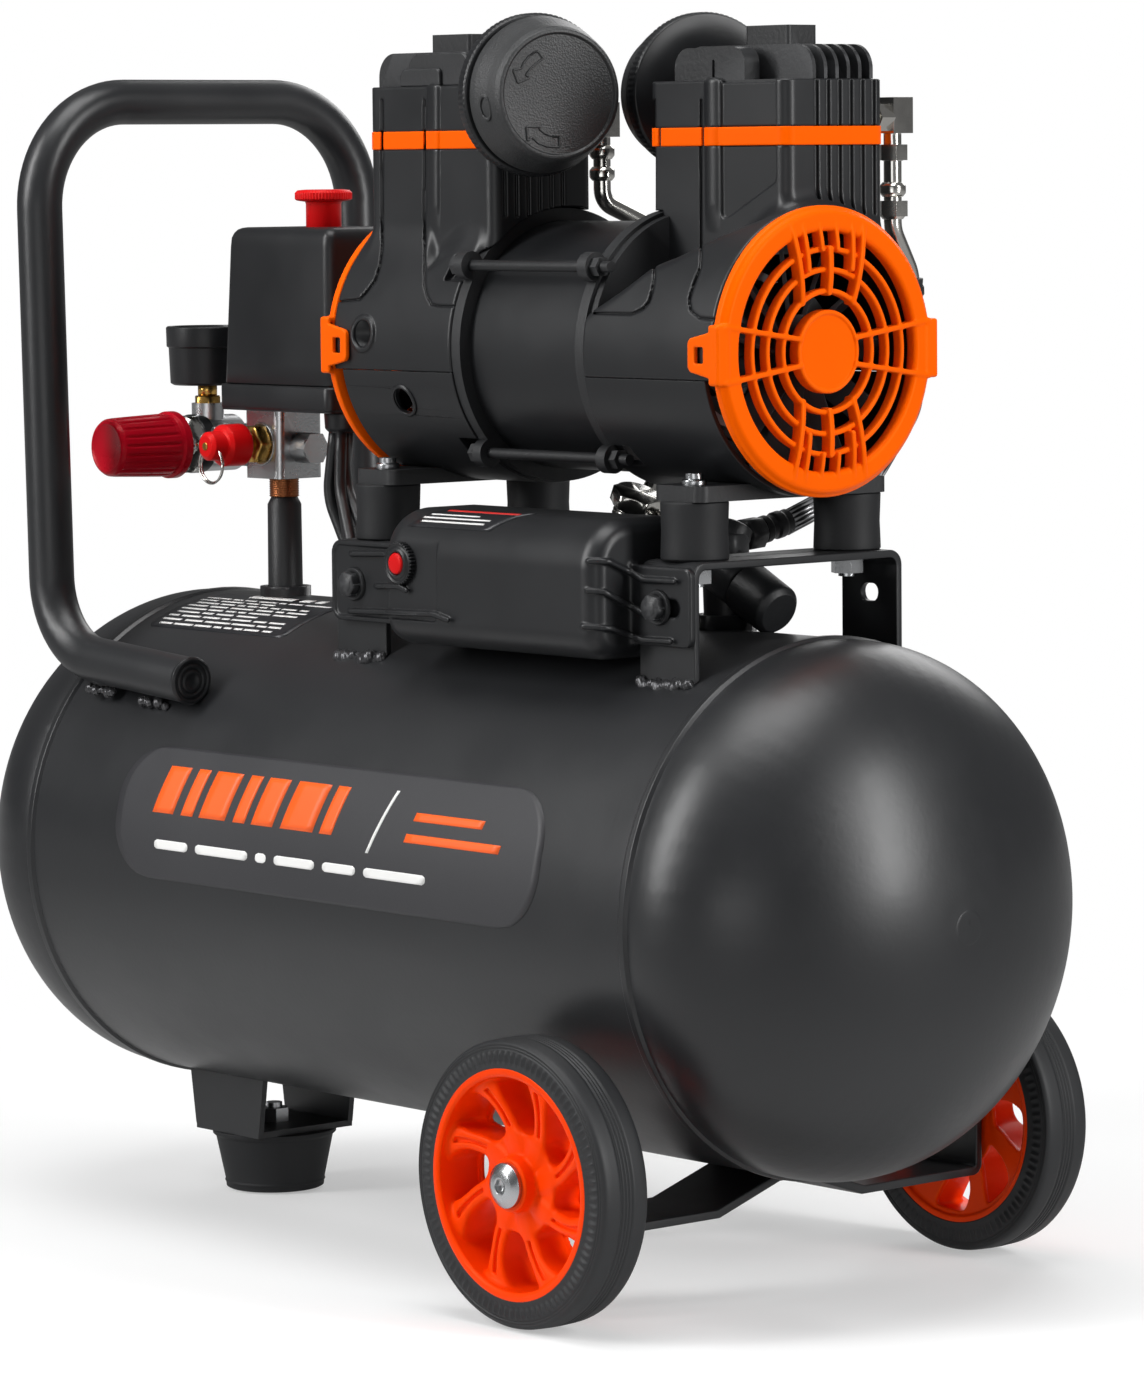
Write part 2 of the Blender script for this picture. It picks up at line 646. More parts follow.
def box3(x, y, z, x0, x1, y0, y1, z0, z1, r=0.6):
    a = np.abs(x - (x0 + x1) / 2) - (x1 - x0) / 2 + r
    b = np.abs(y - (y0 + y1) / 2) - (y1 - y0) / 2 + r
    c = np.abs(z - (z0 + z1) / 2) - (z1 - z0) / 2 + r
    return np.minimum(np.maximum(np.maximum(a, b), c), 0) + np.sqrt(
        np.maximum(a, 0) ** 2 + np.maximum(b, 0) ** 2 + np.maximum(c, 0) ** 2) - r


def cyl2(a, b, t, rad, t0, t1, r=0.6):
    """round bar: a, b are the offsets across, t along"""
    return meet(ln(a, b) - rad, slab(t, t0, t1), r)


def poly2(u, v, pts):
    n = len(pts)
    d = np.full(np.shape(u), 1e18)
    s = np.ones(np.shape(u))
    for i in range(n):
        a, b = pts[i], pts[i - 1]
        ex, ey = b[0] - a[0], b[1] - a[1]
        wx, wy = u - a[0], v - a[1]
        t = np.clip((wx * ex + wy * ey) / (ex * ex + ey * ey), 0, 1)
        dx, dy = wx - ex * t, wy - ey * t
        d = np.minimum(d, dx * dx + dy * dy)
        c1 = v >= a[1]
        c2 = v < b[1]
        c3 = ex * wy > ey * wx
        flip = (c1 & c2 & c3) | (~c1 & ~c2 & ~c3)
        s = np.where(flip, -s, s)
    return s * np.sqrt(d)


def seg2(u, v, a, b, w0, w1=None):
    """capsule from a to b, half width w0 growing to w1"""
    w1 = w0 if w1 is None else w1
    ex, ey = b[0] - a[0], b[1] - a[1]
    t = np.clip(((u - a[0]) * ex + (v - a[1]) * ey) / (ex * ex + ey * ey), 0, 1)
    return ln(u - a[0] - ex * t, v - a[1] - ey * t) - (w0 + (w1 - w0) * t)


def polar(u, v, n, a0=0.0):
    """fold the plane onto one of n equal sectors"""
    th = np.arctan2(v, u) - a0
    s = 2 * pi / n
    th = (th + s / 2) % s - s / 2
    r = ln(u, v)
    return r * np.cos(th), r * np.sin(th)


def field_mesh(f, lo, hi, h, steps=2):
    """closed quad mesh of f = 0 (surface nets, then each point is pulled onto the surface)"""
    B = 6
    lo = np.array(lo, float) - h * 2
    hi = np.array(hi, float) + h * 2
    nb = np.ceil((hi - lo) / (h * B)).astype(int)
    n = nb * B + 1
    c = [lo[k] + (np.arange(nb[k]) + 0.5) * B * h for k in range(3)]
    X, Y, Z = np.meshgrid(c[0], c[1], c[2], indexing="ij")
    fc = f(X, Y, Z)
    act = np.argwhere(np.abs(fc) < B * h * 1.15)
    F = np.empty(tuple(n), np.float32)
    F[:-1, :-1, :-1] = np.repeat(np.repeat(np.repeat(np.sign(fc), B, 0), B, 1), B, 2)
    F[-1], F[:, -1], F[:, :, -1] = F[-2], F[:, -2], F[:, :, -2]
    o = np.arange(B + 1)
    OX, OY, OZ = [q.ravel() for q in np.meshgrid(o, o, o, indexing="ij")]
    for s in range(0, len(act), 4000):
        a = act[s:s + 4000] * B
        ix = (a[:, 0:1] + OX).ravel()
        iy = (a[:, 1:2] + OY).ravel()
        iz = (a[:, 2:3] + OZ).ravel()
        F[ix, iy, iz] = f(lo[0] + ix * h, lo[1] + iy * h, lo[2] + iz * h)
    F[0], F[:, 0], F[:, :, 0], F[-1], F[:, -1], F[:, :, -1] = 1, 1, 1, 1, 1, 1
    S = F < 0
    cnt = np.zeros(tuple(n - 1), np.uint8)
    for dx in (0, 1):
        for dy in (0, 1):
            for dz in (0, 1):
                cnt += S[dx:n[0] - 1 + dx, dy:n[1] - 1 + dy, dz:n[2] - 1 + dz]
    A = (cnt > 0) & (cnt < 8)
    idx = np.argwhere(A)
    vid = np.full(A.shape, -1, np.int64)
    vid[A] = np.arange(len(idx))
    P = np.zeros((len(idx), 3))
    W = np.zeros(len(idx))
    corners = [(0, 0, 0), (1, 0, 0), (0, 1, 0), (1, 1, 0), (0, 0, 1), (1, 0, 1), (0, 1, 1), (1, 1, 1)]
    fv = [F[idx[:, 0] + q[0], idx[:, 1] + q[1], idx[:, 2] + q[2]].astype(float) for q in corners]
    for (a, b) in ((0, 1), (2, 3), (4, 5), (6, 7), (0, 2), (1, 3), (4, 6), (5, 7), (0, 4), (1, 5), (2, 6), (3, 7)):
        m = (fv[a] < 0) != (fv[b] < 0)
        t = fv[a][m] / (fv[a][m] - fv[b][m])
        ca, cb = np.array(corners[a], float), np.array(corners[b], float)
        P[m] += ca + t[:, None] * (cb - ca)
        W[m] += 1
    V = lo + h * (idx + P / W[:, None])
    e = h * 0.25
    V0 = V.copy()
    for _ in range(steps):
        x, y, z = V[:, 0], V[:, 1], V[:, 2]
        v0 = f(x, y, z)
        g = np.stack([f(x + e, y, z) - f(x - e, y, z), f(x, y + e, z) - f(x, y - e, z),
                      f(x, y, z + e) - f(x, y, z - e)], 1) / (2 * e)
        g2 = (g * g).sum(1)
        V = V - g * (v0 / np.maximum(g2, 0.2))[:, None] * 0.9
    dlt = V - V0
    L_ = np.linalg.norm(dlt, axis=1)
    k = np.minimum(1, 0.7 * h / np.maximum(L_, 1e-9))
    V = V0 + dlt * k[:, None]
    quads = []
    # edges along x, y, z
    for ax_ in range(3):
        s = [slice(1, -1)] * 3
        s[ax_] = slice(0, -1)
        s2 = list(s)
        s2[ax_] = slice(1, None)
        E = np.argwhere(S[tuple(s)] != S[tuple(s2)])
        off = np.array([1, 1, 1])
        off[ax_] = 0
        E = E + off
        inside = S[E[:, 0], E[:, 1], E[:, 2]]
        b_, c_ = (ax_ + 1) % 3, (ax_ + 2) % 3
        eb = np.zeros(3, int)
        eb[b_] = 1
        ec = np.zeros(3, int)
        ec[c_] = 1
        v1 = vid[tuple((E - eb - ec).T)]
        v2 = vid[tuple((E - ec).T)]
        v3 = vid[tuple(E.T)]
        v4 = vid[tuple((E - eb).T)]
        q = np.stack([v1, v2, v3, v4], 1)
        q[~inside] = q[~inside][:, ::-1]
        quads.append(q)
    return V, np.concatenate(quads)


# ==================================================================== camera
AZ, PIT, ROL = radians(49.2904), radians(5.1861), radians(-0.5366)
EYE = np.array((2074.7, -1744.8, 505.3))
fwd = np.array((-sin(AZ) * cos(PIT), cos(AZ) * cos(PIT), -sin(PIT)))
r0 = np.array((cos(AZ), sin(AZ), 0.0))
u0 = np.cross(r0, fwd)
right = r0 * cos(ROL) + u0 * sin(ROL)
up = -r0 * sin(ROL) + u0 * cos(ROL)
LENS, PW, PH = 151.48, 1144.0, 1377.0
FPX = LENS / 36.0 * PH


def px(x, y, z):
    """picture place of a point in mm"""
    a, b, c = x - EYE[0], y - EYE[1], z - EYE[2]
    d = a * fwd[0] + b * fwd[1] + c * fwd[2]
    return (PW / 2 + FPX * (a * right[0] + b * right[1] + c * right[2]) / d,
            PH / 2 - FPX * (a * up[0] + b * up[1] + c * up[2]) / d)


def on_plane(u, v, p0, n):
    """point of a plane seen at a picture place"""
    d = fwd + right * (u - PW / 2) / FPX - up * (v - PH / 2) / FPX
    p0, n = np.array(p0, float), np.array(n, float)
    return EYE + d * (((p0 - EYE) @ n) / (d @ n))


def pline(u, v, pts):
    """distance in picture units to a polyline"""
    d = np.full(np.shape(u), 1e9)
    for a, b in zip(pts[:-1], pts[1:]):
        ex, ey = b[0] - a[0], b[1] - a[1]
        t = np.clip(((u - a[0]) * ex + (v - a[1]) * ey) / (ex * ex + ey * ey), 0, 1)
        d = np.minimum(d, ln(u - a[0] - ex * t, v - a[1] - ey * t))
    return d


cam = bpy.data.cameras.new("camera")
cam.lens = LENS
cam.sensor_width = 36.0
cam.clip_end = 50
cob = bpy.data.objects.new("camera", cam)
COL.objects.link(cob)
mw = Matrix.Identity(4)
for k in range(3):
    mw[k][0], mw[k][1], mw[k][2], mw[k][3] = right[k], up[k], -fwd[k], EYE[k] * MM
cob.matrix_world = mw
bpy.context.scene.camera = cob

# ===================================================================== light
sc = bpy.context.scene
sc.view_settings.view_transform = "Standard"
sc.view_settings.look = "None"
wd = bpy.data.worlds.new("studio")
sc.world = wd
wd.use_nodes = True
wn = wd.node_tree
bg = wn.nodes["Background"]
wtc = wn.nodes.new("ShaderNodeTexCoord")
wsp = wn.nodes.new("ShaderNodeSeparateXYZ")
wrp = wn.nodes.new("ShaderNodeValToRGB")
wn.links.new(wtc.outputs["Generated"], wsp.inputs["Vector"])
wn.links.new(wsp.outputs["Z"], wrp.inputs["Fac"])
wrp.color_ramp.elements[0].color = (0.45, 0.45, 0.46, 1)
wrp.color_ramp.elements[1].color = (1.0, 1.0, 1.0, 1)
lp = wn.nodes.new("ShaderNodeLightPath")
bg2 = wn.nodes.new("ShaderNodeBackground")
bg2.inputs["Color"].default_value = (1, 1, 1, 1)
bg2.inputs["Strength"].default_value = 1.0
mixw = wn.nodes.new("ShaderNodeMixShader")
wn.links.new(wrp.outputs["Color"], bg.inputs["Color"])
bg.inputs["Strength"].default_value = 0.21
wn.links.new(lp.outputs["Is Camera Ray"], mixw.inputs[0])
wn.links.new(bg.outputs["Background"], mixw.inputs[1])
wn.links.new(bg2.outputs["Background"], mixw.inputs[2])
wn.links.new(mixw.outputs["Shader"], wn.nodes["World Output"].inputs["Surface"])


def area(name, loc, target, sx, sy, power, col=(1, 1, 1)):
    l = bpy.data.lights.new(name, "AREA")
    l.shape = "RECTANGLE"
    l.size, l.size_y = sx, sy
    l.energy = power
    l.color = col
    o = bpy.data.objects.new(name, l)
    o.location = loc
    d = Vector(target) - Vector(loc)
    o.rotation_euler = d.to_track_quat("-Z", "Y").to_euler()
    COL.objects.link(o)
    return o


area("key_left", (-0.9, -2.1, 1.5), (0.0, 0.0, 0.3), 0.6, 2.0, 55)
area("top_soft", (0.2, -0.3, 2.4), (0.0, 0.0, 0.2), 1.5, 1.2, 32)
area("side_right", (2.4, 0.6, 1.1), (0.1, 0.0, 0.35), 0.5, 1.8, 46)
area("rim_back", (-1.2, 2.2, 1.6), (0.0, 0.0, 0.3), 1.6, 1.2, 18)
area("front_low", (1.6, -1.9, 0.35), (0.1, 0.0, 0.3), 1.2, 0.6, 4)

# ===================================================================== floor
def floor():
    n = 40
    V, F = [], []
    R = [0, 400, 800, 1400, 2600, 6000, 20000]
    V.append((0, 0, -0.6))
    rings = []
    for r in R[1:]:
        ids = []
        for i in range(n):
            th = 2 * pi * i / n
            ids.append(len(V))
            V.append((r * cos(th), r * sin(th), -0.6))
        rings.append(ids)
    for i in range(n):
        j = (i + 1) % n
        F.append([0, rings[0][i], rings[0][j]])
        for a, b in zip(rings[:-1], rings[1:]):
            F.append([a[i], b[i], b[j], a[j]])
    me = bpy.data.meshes.new("floor")
    me.from_pydata((np.array(V) * MM).tolist(), [], F)
    o = bpy.data.objects.new("floor", me)
    COL.objects.link(o)
    # the pale floor melts into the white surround away from the object
    nt = M_FLOOR.node_tree
    geo = nt.nodes.new("ShaderNodeNewGeometry")
    vl = nt.nodes.new("ShaderNodeVectorMath")
    vl.operation = "LENGTH"
    nt.links.new(geo.outputs["Position"], vl.inputs[0])
    fr = nt.nodes.new("ShaderNodeMapRange")
    fr.interpolation_type = "SMOOTHSTEP"
    fr.inputs["From Min"].default_value = 0.10
    fr.inputs["From Max"].default_value = 0.95
    fr.inputs["To Min"].default_value = 0.36
    nt.links.new(vl.outputs["Value"], fr.inputs["Value"])
    em = nt.nodes.new("ShaderNodeEmission")
    em.inputs["Color"].default_value = (1, 1, 1, 1)
    cr = nt.nodes.new("ShaderNodeLightPath")
    cm = nt.nodes.new("ShaderNodeMapRange")
    cm.inputs["To Min"].default_value = 0.38
    nt.links.new(cr.outputs["Is Camera Ray"], cm.inputs["Value"])
    nt.links.new(cm.outputs["Result"], em.inputs["Strength"])
    ms = nt.nodes.new("ShaderNodeMixShader")
    nt.links.new(fr.outputs["Result"], ms.inputs[0])
    nt.links.new(nt.nodes["Principled BSDF"].outputs[0], ms.inputs[1])
    nt.links.new(em.outputs[0], ms.inputs[2])
    nt.links.new(ms.outputs[0], nt.nodes["Material Output"].inputs["Surface"])
    me.materials.append(M_FLOOR)


floor()

# ================================================ finishes for the CAD nodes
CADM = {
    "tank_shell": M_POWDER, "tank_head_front": M_POWDER, "tank_head_rear": M_POWDER, "weld_beads": M_POWDER,
    "handle_tube": M_POWDER, "handle_end_plugs": M_PLASTIC_S, "axle_bracket": M_POWDER2,
    "bracket_fasteners": M_STEEL, "foot_bracket": M_POWDER2, "saddle_bracket_front": M_POWDER2,
    "saddle_bracket_rear": M_POWDER2, "rubber_foot": M_RUBBER, "rubber_mounts": M_RUBBER,
    "wheel_near": M_ORANGE_W, "wheel_far": M_ORANGE_W, "tyre_near": M_TYRE, "tyre_far": M_TYRE,
    "wheel_bolts": M_STEEL, "crankcases": M_CASEBLK, "cylinder_liners": M_ALU_M, "cylinder_heads": M_CASEBLK,
    "head_cover_front": M_PLASTIC, "head_cover_rear": M_PLASTIC, "lower_covers": M_PLASTIC,
    "trim_bands": M_ORANGE_B, "fan_guard_front": M_ORANGE, "fan_guard_rear": M_ORANGE,
    "cooling_fans": M_CASEBLK, "stator_core": M_LAM, "stator_sleeve": M_PLASTIC_S, "winding_coils": M_COPPER,
    "rotor_core": M_LAM, "motor_shaft": M_SHAFT, "shaft_bearings": M_SHAFT, "piston_front": M_PTFE,
    "piston_rear": M_PTFE, "tie_bolts": M_CASEBLK, "filter_housings": M_PLASTIC_S,
    "filter_cap_front": M_PLASTIC_T, "filter_cap_rear": M_PLASTIC_T, "filter_elements": M_FELT,
    "discharge_lines": M_NICKEL, "check_valve": M_CASEBLK, "riser_pipe": M_CASEBLK, "manifold": M_ZINC,
    "switch_base": M_PLASTIC_S, "switch_cover": M_PLASTIC_S, "switch_knob": M_RED, "regulator_body": M_ZINC,
    "regulator_knob": M_CRIM, "gauge_case": M_PLASTIC_S, "gauge_needle": M_RED, "safety_valve": M_BRASS,
    "safety_pull": M_RED, "capacitor_cover": M_PLASTIC, "capacitor": M_ALU_M, "reset_button": M_RED,
    "cables": M_CABLE, "drain_valve_body": M_BRASS, "drain_valve_knob": M_BRASS,
}
BEV = {"tank_shell": 0, "tank_head_front": 0, "tank_head_rear": 0, "weld_beads": 0.4, "handle_tube": 0,
       "cables": 0, "axle_bracket": 0.8, "saddle_bracket_front": 0.7, "saddle_bracket_rear": 0.7,
       "foot_bracket": 0.6, "rubber_mounts": 0.8, "rubber_foot": 0.8, "gauge_needle": 0.1, "filter_elements": 0.3,
       "cooling_fans": 0.3, "winding_coils": 2.0, "capacitor_cover": 0.9}
for nm, o in NODES.items():
    o.data.materials.clear()
    o.data.materials.append(CADM[nm])
    o.data.polygons.foreach_set("use_smooth", [True] * len(o.data.polygons))
    w = o.modifiers.new("weld", "WELD")
    w.merge_threshold = 0.00002
    bw = BEV.get(nm, 0.45)
    if bw > 0:
        b = o.modifiers.new("bevel", "BEVEL")
        b.width = bw * MM
        b.segments = 2
        b.limit_method = "ANGLE"
        b.angle_limit = radians(34)
        b.use_clamp_overlap = True
    o.modifiers.new("wn", "WEIGHTED_NORMAL").keep_sharp = True


# ============================================================== fan guards
def f_guard(x, y, z):
    b = z - AX
    r = ln(y, b)
    ay, ab = np.abs(y), np.abs(b)
    ring_ = meet(np.abs(r - 57.6) - 4.9, slab(x, 215.0, 222.0), 2.4)
    skirt = meet(np.abs(r - 62.9) - 1.1, slab(x, 215.9, 219.5), 0.5)
    d = smin(ring_, skirt, 2.0)
    hub = meet(r - 18.4, slab(x, 215.4, 222.0), 1.1)
    hub = smax(hub, -meet(r - 16.3, slab(x, 221.2, 226.0), 0.3), 0.5)
    d = np.minimum(d, hub)
    thick = slab(x, 216.4, 221.8)
    for R in (26.6, 36.0, 45.0):
        d = smin(d, meet(np.abs(r - R) - 1.2, thick, 1.1), 0.5)
    thick2 = slab(x, 216.0, 222.4)
    d = smin(d, meet(seg2(ay, ab, (16.5, 5.8), (61.0, 12.2), 1.15), thick2, 0.8), 0.8)
    eb = box3(ay, b, x, 59.0, 66.4, -13.2, 13.2, 215.6, 222.3, 1.3)
    eb = smax(eb, -box3(ay, b, x, 61.0, 64.6, -11.0, 11.0, 209, 220.0, 0.6), 0.4)
    eb = np.maximum(eb, -(r - 58.0))
    d = smin(d, eb, 1.0)
    bow = 2.0 * np.clip(1 - ((ab - 38.0) / 17.0) ** 2, 0, 1)
    tb = slab(x - bow, 216.0, 222.0)
    d = smin(d, meet(seg2(ay, ab, (15.2, 21.5), (21.5, 55.0), 1.35), tb, 0.8), 0.7)
    d = smin(d, meet(seg2(ay, ab, (4.6, 45.0), (4.9, 55.5), 1.1), tb, 0.7), 0.6)
    d = smin(d, meet(seg2(ay, ab, (13.0, 36.0), (14.8, 55.5), 1.2), tb, 0.7), 0.6)
    d = smin(d, meet(seg2(y, ab, (0, 26.0), (0, 45.0), 1.5), tb, 0.7), 0.6)
    # clip tabs on both sides
    hz = np.clip((218.4 - x) / 16.0, 0, 1)
    tab = meet(slab(ay, 64.2, 66.5), meet(ab - (10.4 - 3.4 * hz), slab(x, 202.6, 218.5), 2.4), 0.5)
    tab = smax(tab, -meet(slab(x, 207.2, 212.6), ab - 3.6, 0.6), 0.3)
    return np.minimum(d, tab)


gV, gF = field_mesh(f_guard, (197, -68, AX - 66), (225, 68, AX + 66), 0.66)
g = add("guard_front_moulding", gV, gF, "frame", M_ORANGE, "orange_plastic", ("fan_guard_front",))
twin(g, "guard_rear_moulding", "frame", ("fan_guard_rear",))


# =================================================================== wheels
def f_wheel(u, v, t):
    """one rim about its axis; t runs outward from the inner face"""
    r = ln(u, v)
    th = np.arctan2(v, u)
    sw = radians(20.0) * np.clip((r - 14.0) / 33.0, 0, 1.1) ** 1.15
    s = 2 * pi / 8
    a = (th - sw - radians(8.0) + s / 2) % s - s / 2
    w = r * np.sin(a)
    aw = np.abs(w)
    rim = meet(np.abs(r - 49.1) - 2.0, slab(t, 0.2, 26.5), 0.9)
    lip = meet(np.abs(r - 49.6) - 1.6, slab(t, 24.2, 26.9), 0.8)
    k = np.clip((r - 34.0) / 14.0, 0, 1)
    hw = 4.3 + 5.2 * k * k
    front = 20.0 + 3.4 * np.clip((r - 22.0) / 26.0, 0, 1) - 0.030 * w * w
    sp = meet(aw - hw, np.maximum(t - front, 3.0 - t), 1.6)
    sp = np.maximum(sp, r - 49.5)
    gr = meet(aw - (0.9 + 0.9 * k), np.abs(r - 34.5) - 9.5, 0.5)
    sp = smax(sp, -np.maximum(gr, front - 1.9 - t), 0.7)
    hub = meet(r - 22.5, np.maximum(t - 19.6, 2.4 - t), 1.2)
    d = smin(rim, lip, 0.6)
    d = smin(d, sp, 2.6)
    d = smin(d, hub, 4.2)
    boss = meet(r - 12.6 + 0.1 * np.clip(t - 19, 0, 8), slab(t, 1.0, 26.8), 1.0)
    d = smin(d, boss, 1.6)
    web = meet(r - 49.0, slab(t, 2.0, 4.2), 0.4)
    win = np.maximum(meet(np.abs(r - 35.5) - 9.5, hw + 0.4 - aw, 2.2), -(9.4 - t) * 0 - 1)
    d = smin(d, np.maximum(web, -win), 0.8)
    d = smax(d, -(r - 5.15), 0.3)
    return d


wV, wF = field_mesh(lambda x, y, z: f_wheel(x, y, z), (-52, -52, -0.5), (52, 52, 27.5), 0.62)
# local (u, v, t) to the near side: u is x, v is z, t runs to -y
nV = np.stack([wV[:, 0] + WX, -(120.9 + wV[:, 2]), wV[:, 1] + WR], 1)
add("rim_near_moulding", nV, wF, "near_wheel", M_ORANGE_W, "rim_plastic", ("wheel_near",))
fV = np.stack([-wV[:, 0] + WX, (120.9 + wV[:, 2]), wV[:, 1] + WR], 1)
add("rim_far_moulding", fV, wF, "far_wheel", M_ORANGE_W, "rim_plastic", ("wheel_far",))


def tyre():
    half = [(0.0, 50.6), (0.0, 52.2), (0.35, 53.4), (0.35, 54.2), (0.35, 55.4), (0.35, 56.6), (0.35, 57.8), (0.35, 58.6),
            (0.35, 59.2), (1.05, 59.6), (0.35, 60.0), (0.35, 60.5), (1.05, 60.9), (0.4, 61.3), (0.7, 61.9),
            (1.3, 62.6), (2.2, 63.1), (3.6, 63.4), (6.0, 63.55), (8.6, 63.65), (10.0, 63.7), (10.3, 63.15), (10.7, 63.15), (11.0, 63.75),
            (12.0, 63.75), (12.25, 63.2), (12.6, 63.2), (12.9, 63.75)]
    T = 26.7
    prof = half + [(T - t, r) for t, r in half[::-1]] + [(T, 50.0), (T - 2.0, 49.8), (2.0, 49.8), (0.0, 50.0)]
    n = 480
    th = np.arange(n) * 2 * pi / n
    V, F = [], []
    m = len(prof)
    for (t, r) in prof:
        tt = np.full(n, t)
        if 54.0 < r < 58.0 and (t < 1 or t > T - 1):
            bump = 0.75 * np.clip(np.sin(th * 96) * 2.2, -0.2, 1)
            tt = t - bump * 0.8 if t < 1 else t + bump * 0.8
        V.append(np.stack([r * np.cos(th), r * np.sin(th), tt], 1))
    V = np.concatenate(V)
    i = np.arange(n)
    j = (i + 1) % n
    q = []
    for k in range(m):
        a, b = k * n, ((k + 1) % m) * n
        q.append(np.stack([a + i, b + i, b + j, a + j], 1))
    return V, np.concatenate(q)


tV, tF = tyre()
nV = np.stack([tV[:, 0] + WX, -(120.9 + tV[:, 2]), tV[:, 1] + WR], 1)
add("tyre_near_moulded", nV, tF[:, ::-1].copy(), "near_wheel", M_TYRE, "tyre_rubber", ("tyre_near",))
fV = np.stack([-tV[:, 0] + WX, (120.9 + tV[:, 2]), tV[:, 1] + WR], 1)
add("tyre_far_moulded", fV, tF[:, ::-1].copy(), "far_wheel", M_TYRE, "tyre_rubber", ("tyre_far",))

# ============================================================== head covers
G1 = [(654.6, 100), (654.6, 278.6), (652.5, 291), (649.3, 301.8), (643, 309), (631.4, 314.3), (593.9, 313.4)]
G2 = [(701.1, 100), (701.1, 266.1), (694, 285), (689.5, 300), (691, 311), (699.3, 317.9), (723.4, 320.5)]
G3 = [(425, 100), (425, 286.7), (427.5, 297), (432, 304.5), (440, 306.2), (454.7, 306.4)]
G4 = [(382.5, 100), (382.5, 247.1), (380.5, 265), (375.6, 280.7), (367, 292), (359.8, 299.5), (340, 301.5)]
SPLIT = 410.5


def f_outer(x, y, z, rear):
    """outside of a head cover, in the front unit's place"""
    if rear:
        X, Y = 2 * UX - x, -y
    else:
        X, Y = x, y
    r = ln(Y, z - AX)
    tw = meet(rect2(X, Y, 120, 211, -15, 45, 5.6), z - 541.0, 0.8)
    barrel = meet(r - 64.0, slab(X, 130.1, 215.6), 1.2)
    zn = 439.0 + 0.56 * (X - 130.0) + 2.6 * np.exp(-((X - 163.0) / 9.0) ** 2)
    sx = np.clip((X - 158.0) / 22.0, 0, 1)
    zf = np.maximum(440.0, 426.0 + 0.64 * (210.0 - X)) + 60.0 * sx * sx * (3 - 2 * sx)
    m = np.clip((Y + 15.0) / 60.0, 0, 1)
    zs = zn * (1 - m) + zf * m
    nz = np.where(m < 0.5, 0.873, 0.842)
    barrel = smax(barrel, (z - zs) * nz, 5.0)
    d = smin(tw, barrel, 9.0)
    # flat recessed panel and raised rib on the side faces of the tower
    side = np.minimum(np.abs(Y + 15.0), np.abs(Y - 45.0))
    return d, X, Y, side


